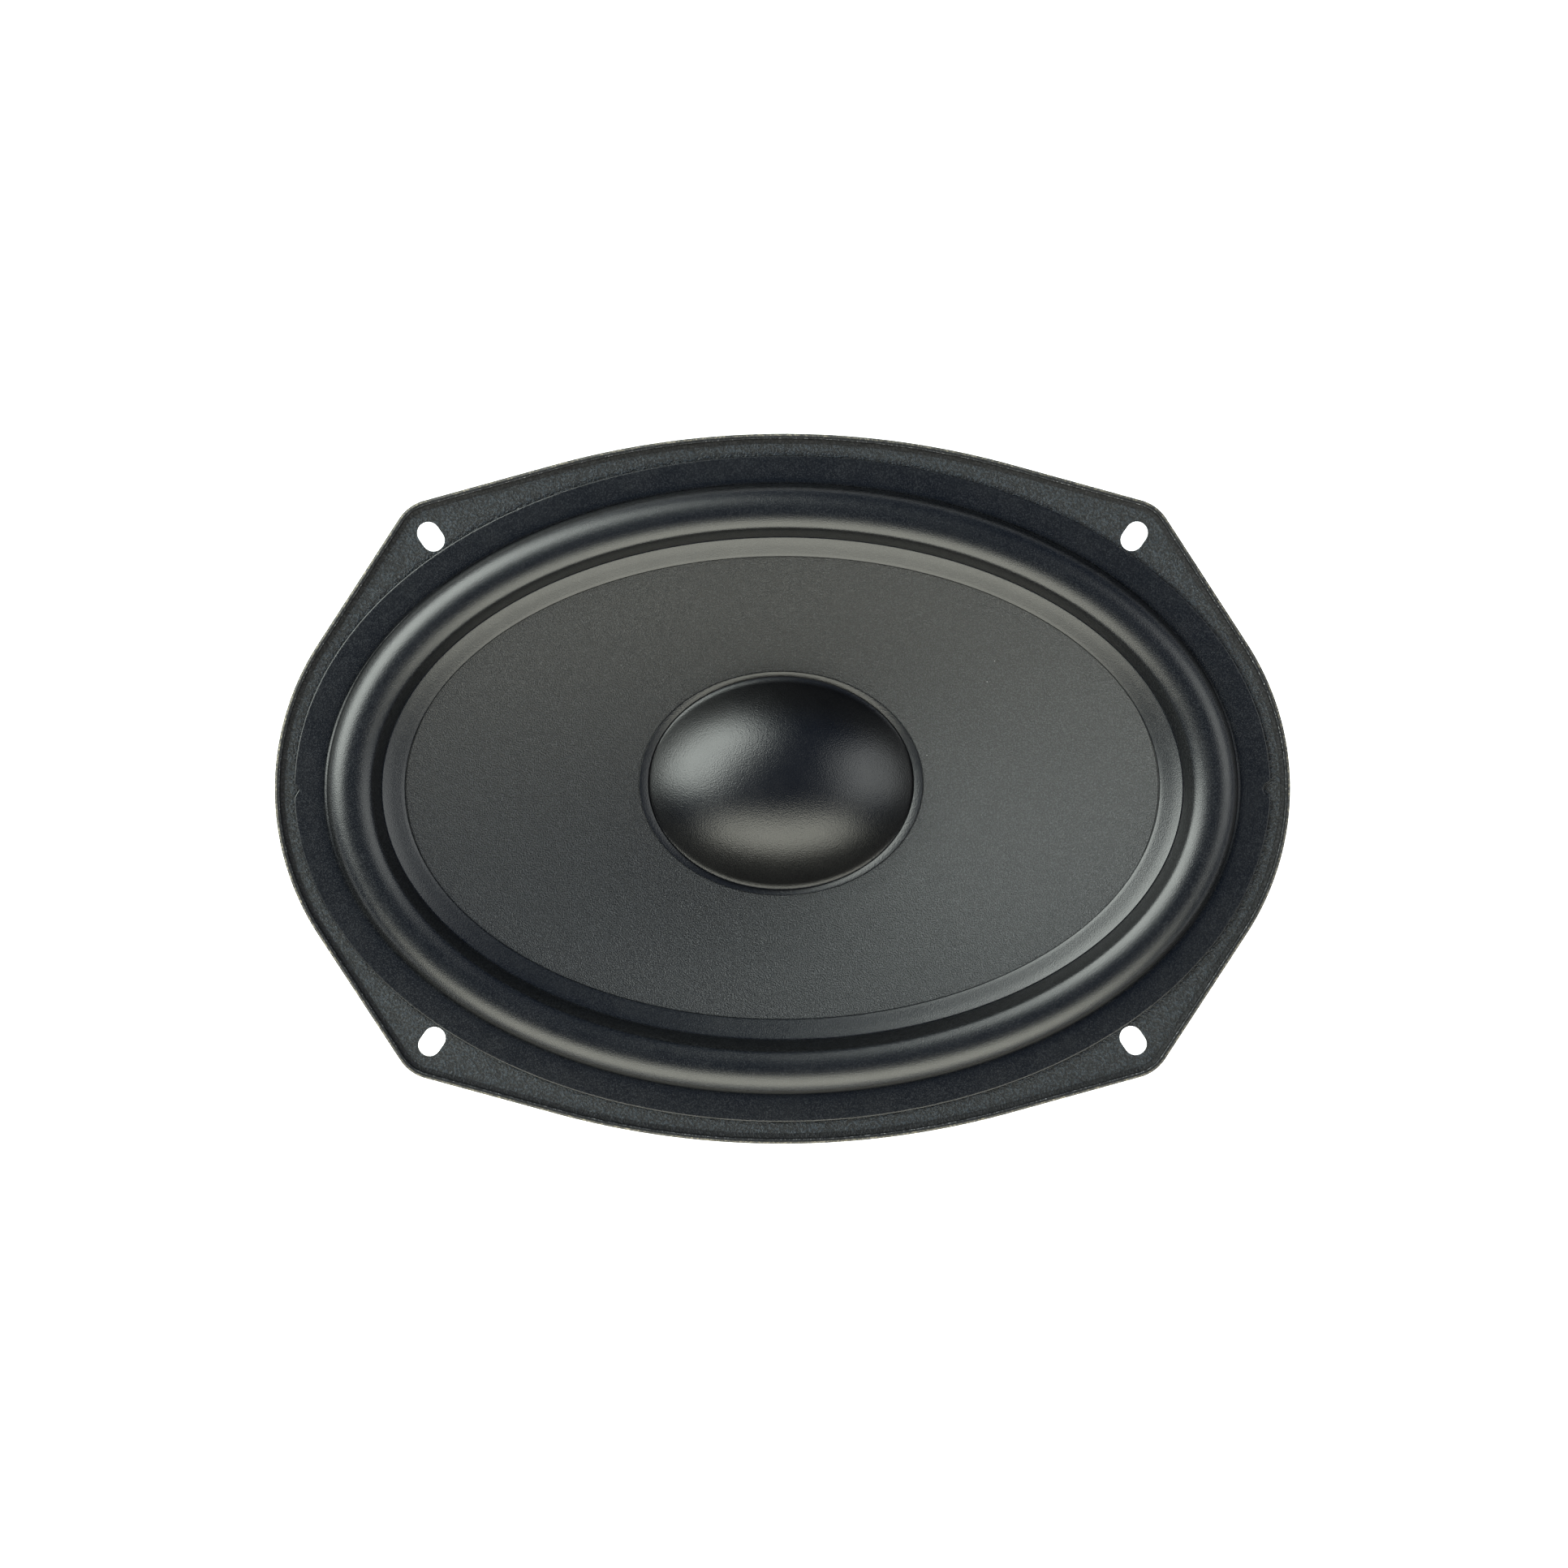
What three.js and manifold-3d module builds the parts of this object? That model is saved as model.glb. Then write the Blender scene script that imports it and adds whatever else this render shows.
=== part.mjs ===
// Oval 6x9 inch car woofer: a stamped steel basket, a ferrite motor, and an oval cone that slides along +Z.
// Millimetres. The origin is the middle of the magnet system's back face, +Z points out of the front,
// X is the long axis of the oval and Y the short one.
import * as THREE from "three";
import { mergeVertices } from "three/addons/utils/BufferGeometryUtils.js";
import Module from "manifold-3d";

const wasm = await Module();
wasm.setup();

// ---------- driving dimensions ----------

// Steps round an oval piece, a round one and the spider.
const OVAL_STEPS = 48;
const ROUND_STEPS = 36;
const SPIDER_STEPS = 24;

// Heights along the axis.
const FLANGE_BACK_Z = 78;
const SHEET = 1.2;
const FLANGE_FRONT_Z = FLANGE_BACK_Z + SHEET;
const BASKET_FLOOR_Z = 30;
const SHELF_BACK_Z = 42;
const SHELF_FRONT_Z = SHELF_BACK_Z + SHEET;
const CONE_NECK_Z = 50;
const CONE_EDGE_Z = 76.3;

// Flange outline: arcs at the sides, the top and bottom and the corners, joined by straight lines that touch
// both neighbours. An arc spans `half` degrees to each side of its middle.
const SIDE_ARC = { x: 55.8, r: 61.7, half: 33, steps: 12 };
const TOP_ARC = { y: -116.8, r: 199.1, half: 15.4, steps: 9 };
const CORNER_ARC = { r: 10.1, steps: 5 };
const LIP_HEIGHT = 1.6;
const LIP_THICK = 1.25;

// Screw slots, one in each corner, their long axes square to the oval.
const SLOT = { x: 81.3, y: 58.5, length: 7.2, width: 5.2, angle: 55 };

// Oval sizes, as half the long axis and half the short axis.
const BASKET_HOLE = { a: 104.4, b: 69.7 };
const BASKET_WALL_TOP = { a: 105.2, b: 70.5 };
const BASKET_SLOPE_TOP = { a: 100.5, b: 66, z: 66.5 };
const RUBBER_EDGE = { a: 113, b: 77.2 };
const ROLL_OUTER = { a: 105.5, b: 70.75 };
const ROLL_INNER = { a: 92.9, b: 58.4 };
const CONE_SEEN_EDGE = { a: 87.4, b: 53.65 };
const CONE_EDGE = { a: 92, b: 57.6 };
const CAP_FOOT = { a: 30.7, b: 23.9 };
const CAP_SKIRT_A = 33.2;
const CAP_FOOT_RISE = 0.5;
const CAP_SKIRT_RISE = 0.2;
const GASKET_OUTER = { a: 111, b: 75.2 };
const GASKET_INNER = { a: 106.2, b: 71.5 };
const GASKET_THICK = 1.6;

// Round sizes.
const SHELF_OUTER_R = 57.5;
const SHELF_INNER_R = 46.5;
const FLOOR_OUTER_R = 44;
const FLOOR_HOLE_R = 21;
const CONE_NECK_R = 18.1;
const COLLAR = { inner: 17.7, outer: 17.9, low: 38, high: 52 };
const FORMER = { inner: 17.35, outer: 17.65, low: 20, high: 52 };
const WINDING = { inner: 17.7, outer: 18.5, low: 20.5, high: 34.5 };
const POLE = { r: 16.9, vent: 7.5, high: 31.5, chamfer: 0.6 };
const BACK_PLATE = { r: 43, thick: 6, chamfer: 1.2 };
const MAGNET = { inner: 23, outer: 45, high: 24, chamfer: 1 };
const TOP_PLATE = { inner: 19.1, outer: 42, high: 30, chamfer: 0.6 };
const VENT_SCREEN = { r: 7.3, pitch: 2.7, holeR: 1.15, rows: 5, low: 1.2, high: 1.8 };

// Thicknesses and heights of the moving and bending skins.
const CONE_THICK = 0.9;
const RUBBER_THICK = 0.8;
const RUBBER_ABOVE_CONE = 0.3;
const ROLL_HEIGHT = 5.3;
// The roll stands nearly upright: its inner foot is lower, and most of that drop is in the last of its width.
const ROLL_DROP = { even: 0.3, wallStart: 0.8 };
const ROLL_STEPS = 8;
const CAP_STEPS = 8;
const GLUE_GAP = 0.05;
const CAP_HEIGHT = 11;
const CAP_THICK = 0.6;
const SPIDER = { inner: 18.15, outer: 55, thick: 0.5, wave: 1.4, waves: 4, waveIn: 21, waveOut: 45.5 };

// Openings punched in the basket.
const WINDOWS = [
  { middle: 0, half: 27 },
  { middle: 180, half: 27 },
  { middle: 64, half: 21 },
  { middle: 116, half: 21 },
  { middle: 244, half: 21 },
  { middle: 296, half: 21 },
];
const WINDOW_LOW = 0.12;
const WINDOW_HIGH = 0.88;
const WINDOW_CORNER = 4;
const WINDOW_CUT_DEPTH = 5;
const WINDOW_STEPS = 7;
// The slope laid flat: millimetres round it for each radian, and up it from the shelf to its top.
const SLOPE_FLAT = { around: 75, up: 45 };
const AIR_SLOT = { count: 8, length: 13, width: 5, z: 36.5 };

// Rivets through the basket's floor into the top plate.
const PLATE_RIVET = { at: 32, shank: 1.9, hole: 2.2, head: 3.4, headHigh: 1.6, low: 24.5 };
const RIVET_DOME = [[1, 0], [0.85, 0.7], [0.5, 1]];
const RIVET_STEPS = 12;

// Terminals, on a lug of the shelf at the +X end.
const LUG = { near: 53.5, far: 74, half: 15 };
const BOARD = { near: 64, far: 86, half: 16, thick: 1.6, gap: 0.05 };
const BOARD_RIVET = { x: 69, y: 12.6, shank: 1.3, hole: 1.5, head: 2.3, headHigh: 0.8 };
const TAB = { near: 70, shoulder: 83, far: 96, y: 6, tip: 1.2, thick: 0.85, bladeThick: 0.8 };
const TAB_WIDTH = { positive: 6.3, negative: 4.8 };
const TAB_HOLE = { x: 92.5, r: 0.75 };
const EYELET = { x: 79.5, shank: 1.25, hole: 1.45, bore: 0.7, head: 2.2, headHigh: 0.5, taper: 0.3 };

// Braided leads from the tabs to the coil.
const LEAD_R = 0.6;
const LEAD_SIDES = 8;
const LEAD_STEPS = 26;
const LEAD_OFF_COLLAR = 0.3;

// How far a cutter reaches past the sheet that it cuts.
const CUT_PAST = 1;

const BOARD_FRONT_Z = SHELF_FRONT_Z + BOARD.gap + BOARD.thick;
const TAB_BACK_Z = BOARD_FRONT_Z + GLUE_GAP;
const TAB_FRONT_Z = TAB_BACK_Z + TAB.thick;

// ---------- solids and shapes ----------

const radians = THREE.MathUtils.degToRad;

function solid(geometry) {
  const bare = geometry.index ? geometry.toNonIndexed() : geometry.clone();
  bare.deleteAttribute("normal");
  bare.deleteAttribute("uv");
  const merged = mergeVertices(bare, 1e-4);
  return new wasm.Manifold(
    new wasm.Mesh({
      numProp: 3,
      vertProperties: merged.attributes.position.array,
      triVerts: new Uint32Array(merged.index.array),
    }),
  );
}

function geometryOf(manifold) {
  const mesh = manifold.getMesh();
  const geometry = new THREE.BufferGeometry();
  geometry.setAttribute("position", new THREE.BufferAttribute(mesh.vertProperties, 3));
  geometry.setIndex(new THREE.BufferAttribute(mesh.triVerts, 1));
  geometry.computeVertexNormals();
  return geometry;
}

// A shape of the XY plane, made solid from z = low to z = high.
function slab(shape, low, high, curveSegments = 12) {
  const geometry = new THREE.ExtrudeGeometry(shape, { depth: high - low, bevelEnabled: false, curveSegments });
  return geometry.translate(0, 0, low);
}

// A closed profile of [radius, z] points turned round the Z axis, listed anticlockwise.
function turned(points, steps = ROUND_STEPS) {
  const profile = points.map(([r, z]) => new THREE.Vector2(r, z));
  return new THREE.LatheGeometry(profile, steps).rotateX(Math.PI / 2);
}

// A tube, ring or plate with a hole.
function ring(inner, outer, low, high, chamfer = 0) {
  const outerSide = chamfer
    ? [[outer - chamfer, low], [outer, low + chamfer], [outer, high - chamfer], [outer - chamfer, high]]
    : [[outer, low], [outer, high]];
  const section = [[inner, low], ...outerSide, [inner, high], [inner, low]];
  return turned(section);
}

function bar(radius, low, high, steps = RIVET_STEPS) {
  return turned([[0, low], [radius, low], [radius, high], [0, high]], steps);
}

function box(x, y, z) {
  const size = [x[1] - x[0], y[1] - y[0], z[1] - z[0]];
  const middle = [(x[0] + x[1]) / 2, (y[0] + y[1]) / 2, (z[0] + z[1]) / 2];
  return new THREE.BoxGeometry(...size).translate(...middle);
}

// The point at `angle` of a station: an oval ring with half axes a and b at height z.
function ovalPoint(station, angle) {
  return new THREE.Vector3(station.a * Math.cos(angle), station.b * Math.sin(angle), station.z);
}

function between(from, to, t) {
  return {
    a: THREE.MathUtils.lerp(from.a, to.a, t),
    b: THREE.MathUtils.lerp(from.b, to.b, t),
    z: THREE.MathUtils.lerp(from.z, to.z, t),
  };
}

// The unit normal of the skin through the stations, at station i, with the mitre that keeps its thickness.
function skinNormal(stations, i, angle) {
  const here = ovalPoint(stations[i], angle);
  const round = new THREE.Vector3(-stations[i].a * Math.sin(angle), stations[i].b * Math.cos(angle), 0);
  const sides = [];
  if (i > 0) sides.push(here.clone().sub(ovalPoint(stations[i - 1], angle)));
  if (i < stations.length - 1) sides.push(ovalPoint(stations[i + 1], angle).sub(here));
  const normals = sides.map((side) => new THREE.Vector3().crossVectors(round, side).normalize());
  if (normals.length === 1) return normals[0];
  const middle = normals[0].clone().add(normals[1]).normalize();
  return middle.divideScalar(Math.max(middle.dot(normals[0]), 0.5));
}

// A thin oval skin. The surface through the stations is its face, which looks towards +Z where they run
// inwards and towards -Z where they run outwards, and its back lies `thick` behind that.
function skin(stations, thick, steps = OVAL_STEPS) {
  const order = stations.map((_, i) => i);
  const rows = [...order.map((i) => [i, 0]), ...order.reverse().map((i) => [i, thick])];
  const positions = [];
  for (const [i, depth] of rows) {
    for (let step = 0; step < steps; step++) {
      const angle = (2 * Math.PI * step) / steps;
      const point = ovalPoint(stations[i], angle).addScaledVector(skinNormal(stations, i, angle), -depth);
      positions.push(point.x, point.y, point.z);
    }
  }
  const index = [];
  for (let row = 0; row < rows.length; row++) {
    const next = (row + 1) % rows.length;
    for (let step = 0; step < steps; step++) {
      const after = (step + 1) % steps;
      const corners = [row * steps + step, row * steps + after, next * steps + after, next * steps + step];
      index.push(corners[0], corners[1], corners[2], corners[0], corners[2], corners[3]);
    }
  }
  const geometry = new THREE.BufferGeometry();
  geometry.setAttribute("position", new THREE.Float32BufferAttribute(positions, 3));
  return geometry.setIndex(index);
}

// ---------- basket ----------

// The middle of the corner's arc: its distance from both straight sides is the corner's radius.
function cornerCentre() {
  const side = radians(SIDE_ARC.half);
  const top = radians(90 - TOP_ARC.half);
  const sideReach = SIDE_ARC.x * Math.cos(side) + SIDE_ARC.r - CORNER_ARC.r;
  const topReach = TOP_ARC.y * Math.sin(top) + TOP_ARC.r - CORNER_ARC.r;
  const turn = Math.sin(top - side);
  return {
    x: (sideReach * Math.sin(top) - topReach * Math.sin(side)) / turn,
    y: (topReach * Math.cos(side) - sideReach * Math.cos(top)) / turn,
  };
}

// The flange's outline, moved inwards by `inset`: eight arcs, joined by straight lines.
function flangeOutline(inset = 0) {
  const corner = cornerCentre();
  const side = SIDE_ARC.half;
  const top = 90 - TOP_ARC.half;
  const points = [];
  const arc = (x, y, { r, steps }, from, to) => {
    for (let i = 0; i <= steps; i++) {
      const angle = radians(THREE.MathUtils.lerp(from, to, i / steps));
      points.push(new THREE.Vector2(x + (r - inset) * Math.cos(angle), y + (r - inset) * Math.sin(angle)));
    }
  };
  for (const turn of [0, 180]) {
    const sign = turn ? -1 : 1;
    arc(sign * SIDE_ARC.x, 0, SIDE_ARC, turn - side, turn + side);
    arc(sign * corner.x, sign * corner.y, CORNER_ARC, turn + side, turn + top);
    arc(0, sign * TOP_ARC.y, TOP_ARC, turn + top, turn + 180 - top);
    arc(-sign * corner.x, sign * corner.y, CORNER_ARC, turn + 180 - top, turn + 180 - side);
  }
  return new THREE.Shape(points);
}

// An oval drawn with the same steps as the skins, so that it meets their corners.
function ovalShape({ a, b }) {
  const points = [];
  for (let step = 0; step < OVAL_STEPS; step++) {
    const angle = (2 * Math.PI * step) / OVAL_STEPS;
    points.push(new THREE.Vector2(a * Math.cos(angle), b * Math.sin(angle)));
  }
  return new THREE.Shape(points);
}

// A slot with round ends along X, `length` from end to end.
function slotShape(length, width) {
  const reach = (length - width) / 2;
  const shape = new THREE.Shape();
  shape.absarc(reach, 0, width / 2, -Math.PI / 2, Math.PI / 2, false);
  shape.absarc(-reach, 0, width / 2, Math.PI / 2, (3 * Math.PI) / 2, false);
  return shape;
}

const basketStations = {
  floorHole: { a: FLOOR_HOLE_R, b: FLOOR_HOLE_R, z: BASKET_FLOOR_Z },
  floorEdge: { a: FLOOR_OUTER_R, b: FLOOR_OUTER_R, z: BASKET_FLOOR_Z },
  shelfInner: { a: SHELF_INNER_R, b: SHELF_INNER_R, z: SHELF_BACK_Z },
  shelfOuter: { a: SHELF_OUTER_R, b: SHELF_OUTER_R, z: SHELF_BACK_Z },
  slopeTop: BASKET_SLOPE_TOP,
  wallTop: { ...BASKET_WALL_TOP, z: FLANGE_FRONT_Z - 0.1 },
};

// A rounded rectangle of half width x, from y[0] to y[1], with points along its two wide sides.
function windowShape(x, y, r) {
  const points = [];
  const corner = (cx, cy, turn) => {
    for (let i = 0; i <= 3; i++) {
      const angle = turn + (Math.PI / 2) * (i / 3);
      points.push(new THREE.Vector2(cx + r * Math.cos(angle), cy + r * Math.sin(angle)));
    }
  };
  const wideSide = (height, direction) => {
    for (let i = 1; i < WINDOW_STEPS; i++) {
      points.push(new THREE.Vector2(direction * THREE.MathUtils.lerp(r - x, x - r, i / WINDOW_STEPS), height));
    }
  };
  corner(x - r, y[0] + r, -Math.PI / 2);
  corner(x - r, y[1] - r, 0);
  wideSide(y[1], -1);
  corner(r - x, y[1] - r, Math.PI / 2);
  corner(r - x, y[0] + r, Math.PI);
  wideSide(y[0], 1);
  return new THREE.Shape(points);
}

// A window's cutter: a rounded rectangle, whose x runs round the basket and whose y runs up its slope,
// bent to follow the slope and thick enough to pass through it everywhere.
function windowCutter({ middle, half }) {
  const { around, up } = SLOPE_FLAT;
  const shape = windowShape(around * radians(half), [WINDOW_LOW * up, WINDOW_HIGH * up], WINDOW_CORNER);
  const geometry = slab(shape, -WINDOW_CUT_DEPTH, WINDOW_CUT_DEPTH);
  const position = geometry.attributes.position;
  for (let i = 0; i < position.count; i++) {
    const angle = radians(middle) + position.getX(i) / around;
    const station = between(basketStations.shelfOuter, basketStations.slopeTop, position.getY(i) / up);
    const outwards = new THREE.Vector3(Math.cos(angle), Math.sin(angle), -1).normalize();
    const point = ovalPoint(station, angle).addScaledVector(outwards, position.getZ(i));
    position.setXYZ(i, point.x, point.y, point.z);
  }
  return geometry;
}

function basket() {
  const plate = flangeOutline();
  plate.holes.push(ovalShape(BASKET_HOLE));
  const lip = flangeOutline();
  lip.holes.push(flangeOutline(LIP_THICK));
  let body = solid(slab(plate, FLANGE_BACK_Z, FLANGE_FRONT_Z))
    .add(solid(slab(lip, FLANGE_BACK_Z, FLANGE_FRONT_Z + LIP_HEIGHT)))
    .add(solid(skin(Object.values(basketStations), SHEET)));
  for (const window of WINDOWS) body = body.subtract(solid(windowCutter(window)));
  const lug = box([LUG.near, LUG.far], [-LUG.half, LUG.half], [SHELF_BACK_Z, SHELF_FRONT_Z]);
  body = body.add(solid(lug));
  for (const [sx, sy] of [[1, 1], [-1, 1], [-1, -1], [1, -1]]) {
    const shape = slotShape(SLOT.length, SLOT.width);
    const slot = slab(shape, FLANGE_BACK_Z - CUT_PAST, FLANGE_FRONT_Z + CUT_PAST, 3);
    slot.rotateZ(radians(sx * sy * SLOT.angle)).translate(sx * SLOT.x, sy * SLOT.y, 0);
    body = body.subtract(solid(slot));
  }
  for (let i = 0; i < AIR_SLOT.count; i++) {
    const slot = slab(slotShape(AIR_SLOT.length, AIR_SLOT.width), FLOOR_HOLE_R, SHELF_OUTER_R, 2);
    slot.rotateX(Math.PI / 2).rotateZ((2 * Math.PI * (i + 0.5)) / AIR_SLOT.count).translate(0, 0, AIR_SLOT.z);
    body = body.subtract(solid(slot));
  }
  for (const { x, y } of plateRivetPlaces()) {
    body = body.subtract(solid(bar(PLATE_RIVET.hole, 0, SHELF_BACK_Z).translate(x, y, 0)));
  }
  for (const sy of [-1, 1]) {
    const hole = bar(BOARD_RIVET.hole, SHELF_BACK_Z - CUT_PAST, SHELF_FRONT_Z + CUT_PAST);
    body = body.subtract(solid(hole.translate(BOARD_RIVET.x, sy * BOARD_RIVET.y, 0)));
  }
  return geometryOf(body);
}

function rearGasket() {
  const shape = ovalShape(GASKET_OUTER);
  shape.holes.push(ovalShape(GASKET_INNER));
  return slab(shape, FLANGE_BACK_Z - GASKET_THICK, FLANGE_BACK_Z);
}

// ---------- cone, surround, dust cap ----------

const coneNeck = { a: CONE_NECK_R, b: CONE_NECK_R, z: CONE_NECK_Z };
const coneEdge = { ...CONE_EDGE, z: CONE_EDGE_Z };

function coneZ(a) {
  return between(coneNeck, coneEdge, (a - coneNeck.a) / (coneEdge.a - coneNeck.a)).z;
}

function cone() {
  return skin([coneEdge, between(coneEdge, coneNeck, 0.5), coneNeck], CONE_THICK);
}

// Outer flange, half roll, and the inner flange that lies on the cone.
function surround() {
  const outerZ = FLANGE_FRONT_Z + GLUE_GAP + RUBBER_THICK;
  const above = RUBBER_THICK + RUBBER_ABOVE_CONE;
  const outerFoot = { ...ROLL_OUTER, z: outerZ };
  const innerFoot = { ...ROLL_INNER, z: coneZ(ROLL_INNER.a) + above };
  const stations = [{ ...RUBBER_EDGE, z: outerZ }];
  for (let i = 0; i <= ROLL_STEPS; i++) {
    const turn = (Math.PI * i) / ROLL_STEPS;
    const across = (1 - Math.cos(turn)) / 2;
    const wall = THREE.MathUtils.smoothstep(across, ROLL_DROP.wallStart, 1);
    const drop = ROLL_DROP.even * across + (1 - ROLL_DROP.even) * wall;
    const z = THREE.MathUtils.lerp(outerFoot.z, innerFoot.z, drop) + ROLL_HEIGHT * Math.sin(turn);
    stations.push({ ...between(outerFoot, innerFoot, across), z });
  }
  stations.push({ ...CONE_SEEN_EDGE, z: coneZ(CONE_SEEN_EDGE.a) + above });
  return skin(stations, RUBBER_THICK);
}

// A shallow dome with a skirt that lies on the cone, drawn round and then narrowed to its oval.
function dustCap() {
  const footZ = coneZ(CAP_FOOT.a) + CAP_FOOT_RISE;
  const sphereR = (CAP_FOOT.a ** 2 + CAP_HEIGHT ** 2) / (2 * CAP_HEIGHT);
  const sphereZ = footZ + CAP_HEIGHT - sphereR;
  const half = Math.asin(CAP_FOOT.a / sphereR);
  const outside = [];
  const inside = [];
  for (let i = 0; i <= CAP_STEPS; i++) {
    const angle = half * (1 - i / CAP_STEPS);
    const onSphere = (r) => [r * Math.sin(angle), sphereZ + r * Math.cos(angle)];
    outside.push(onSphere(sphereR));
    inside.unshift(onSphere(sphereR - CAP_THICK));
  }
  const skirtZ = coneZ(CAP_SKIRT_A) + CAP_SKIRT_RISE;
  const section = [...inside, [CAP_SKIRT_A, skirtZ], [CAP_SKIRT_A, skirtZ + CAP_THICK], ...outside];
  return turned(section).scale(1, CAP_FOOT.b / CAP_FOOT.a, 1);
}

// ---------- spider ----------

function spider() {
  const { inner, outer, thick, wave, waves, waveIn, waveOut } = SPIDER;
  const rimZ = SHELF_FRONT_Z + GLUE_GAP + thick;
  const station = (r, z) => ({ a: r, b: r, z });
  const stations = [station(outer, rimZ), station(waveOut + 1, rimZ)];
  const steps = 4 * waves;
  for (let i = 0; i <= steps; i++) {
    const r = THREE.MathUtils.lerp(waveOut, waveIn, i / steps);
    stations.push(station(r, rimZ + wave * Math.sin((Math.PI * i) / 2)));
  }
  stations.push(station(inner, rimZ));
  return skin(stations, thick, SPIDER_STEPS);
}

// ---------- motor ----------

function plateRivetPlaces() {
  return [45, 135, 225, 315].map((degrees) => ({
    x: PLATE_RIVET.at * Math.cos(radians(degrees)),
    y: PLATE_RIVET.at * Math.sin(radians(degrees)),
  }));
}

function topPlate() {
  let body = solid(ring(TOP_PLATE.inner, TOP_PLATE.outer, MAGNET.high, TOP_PLATE.high, TOP_PLATE.chamfer));
  for (const { x, y } of plateRivetPlaces()) {
    const hole = bar(PLATE_RIVET.hole, MAGNET.high - CUT_PAST, TOP_PLATE.high + CUT_PAST);
    body = body.subtract(solid(hole.translate(x, y, 0)));
  }
  return geometryOf(body);
}

// Turned: a plain shank and a low domed head on the basket's floor.
function plateRivet() {
  const { shank, head, headHigh, low } = PLATE_RIVET;
  const seat = BASKET_FLOOR_Z + SHEET + GLUE_GAP;
  const dome = RIVET_DOME.map(([out, up]) => [head * out, seat + headHigh * up]);
  return turned([[0, low], [shank, low], [shank, seat], ...dome, [0, seat + headHigh]], RIVET_STEPS);
}

// A disc with hexagonal holes in rows, pressed in the mouth of the vent.
function ventScreen() {
  const { r, pitch, holeR, rows, low, high } = VENT_SCREEN;
  const shape = new THREE.Shape().absarc(0, 0, r, 0, 2 * Math.PI, false);
  const lastRow = (rows - 1) / 2;
  for (let row = -lastRow; row <= lastRow; row++) {
    const count = rows - Math.abs(row);
    for (let i = 0; i < count; i++) {
      const x = (i - (count - 1) / 2) * pitch;
      const y = (row * pitch * Math.sqrt(3)) / 2;
      const corners = [];
      for (let corner = 0; corner < 6; corner++) {
        const angle = (Math.PI * (corner + 0.5)) / 3;
        corners.push(new THREE.Vector2(x + holeR * Math.cos(angle), y + holeR * Math.sin(angle)));
      }
      shape.holes.push(new THREE.Path(corners));
    }
  }
  return slab(shape, low, high);
}

// ---------- terminals and leads ----------

function terminalBoard() {
  const low = SHELF_FRONT_Z + BOARD.gap;
  let body = solid(box([BOARD.near, BOARD.far], [-BOARD.half, BOARD.half], [low, BOARD_FRONT_Z]));
  for (const [x, y, r] of [[BOARD_RIVET.x, BOARD_RIVET.y, BOARD_RIVET.hole], [EYELET.x, TAB.y, EYELET.hole]]) {
    for (const sy of [-1, 1]) {
      const hole = bar(r, low - CUT_PAST, BOARD_FRONT_Z + CUT_PAST);
      body = body.subtract(solid(hole.translate(x, sy * y, 0)));
    }
  }
  return geometryOf(body);
}

function boardRivet() {
  const { shank, head, headHigh } = BOARD_RIVET;
  const low = SHELF_BACK_Z - GLUE_GAP;
  const high = BOARD_FRONT_Z + GLUE_GAP;
  const back = [[0, low - headHigh], [head * 0.8, low - headHigh], [head, low], [shank, low]];
  const front = [[shank, high], [head, high], [head * 0.7, high + headHigh], [0, high + headHigh]];
  return turned([...back, ...front], RIVET_STEPS);
}

function plateWithHole(corners, holeX, holeR, low, high) {
  const shape = new THREE.Shape(corners.map(([x, y]) => new THREE.Vector2(x, y)));
  shape.holes.push(new THREE.Path().absarc(holeX, 0, holeR, 0, 2 * Math.PI, false));
  return slab(shape, low, high, 5);
}

// A base with a hole for its eyelet, and a blade coined a little thinner, with a chamfered tip and a detent
// hole.
function terminalTab(width) {
  const half = width / 2;
  const { near, shoulder, far, tip } = TAB;
  const base = [[near, -half], [shoulder, -half], [shoulder, half], [near, half]];
  const blade = [[shoulder - CUT_PAST, -half], [far - tip, -half], [far, tip - half], [far, half - tip]];
  blade.push([far - tip, half], [shoulder - CUT_PAST, half]);
  const basePart = plateWithHole(base, EYELET.x, EYELET.hole, TAB_BACK_Z, TAB_FRONT_Z);
  const bladePart = plateWithHole(blade, TAB_HOLE.x, TAB_HOLE.r, TAB_BACK_Z, TAB_BACK_Z + TAB.bladeThick);
  return geometryOf(solid(basePart).add(solid(bladePart)));
}

function eyelet() {
  const { shank, bore, head, headHigh, taper } = EYELET;
  const low = SHELF_FRONT_Z + BOARD.gap - GLUE_GAP;
  const high = TAB_FRONT_Z + GLUE_GAP;
  const back = [[bore, low - headHigh], [head, low - headHigh], [head, low], [shank, low]];
  const front = [[shank, high], [head, high], [head - taper, high + headHigh], [bore, high + headHigh]];
  return turned([...back, ...front, [bore, low - headHigh]], RIVET_STEPS);
}

// From the coil's collar up over the spider in a slack arch, and down on the tab.
function tinselLead(side) {
  const y = TAB.y;
  const start = Math.sqrt((COLLAR.outer + LEAD_R + LEAD_OFF_COLLAR) ** 2 - y ** 2);
  const end = TAB_FRONT_Z + LEAD_R + GLUE_GAP;
  const route = [
    [start, 46.7],
    [22.5, 48.3],
    [32, 50.6],
    [44, 51.2],
    [55, 49.7],
    [64, 47.6],
    [70.5, end],
    [76, end],
  ].map(([x, z]) => new THREE.Vector3(x, side * y, z));
  const section = new THREE.Shape();
  for (let i = 0; i < LEAD_SIDES; i++) {
    const angle = (2 * Math.PI * i) / LEAD_SIDES;
    const go = i ? "lineTo" : "moveTo";
    section[go](LEAD_R * Math.cos(angle), LEAD_R * Math.sin(angle));
  }
  const extrudePath = new THREE.CatmullRomCurve3(route);
  return new THREE.ExtrudeGeometry(section, { extrudePath, steps: LEAD_STEPS, bevelEnabled: false });
}

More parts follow.
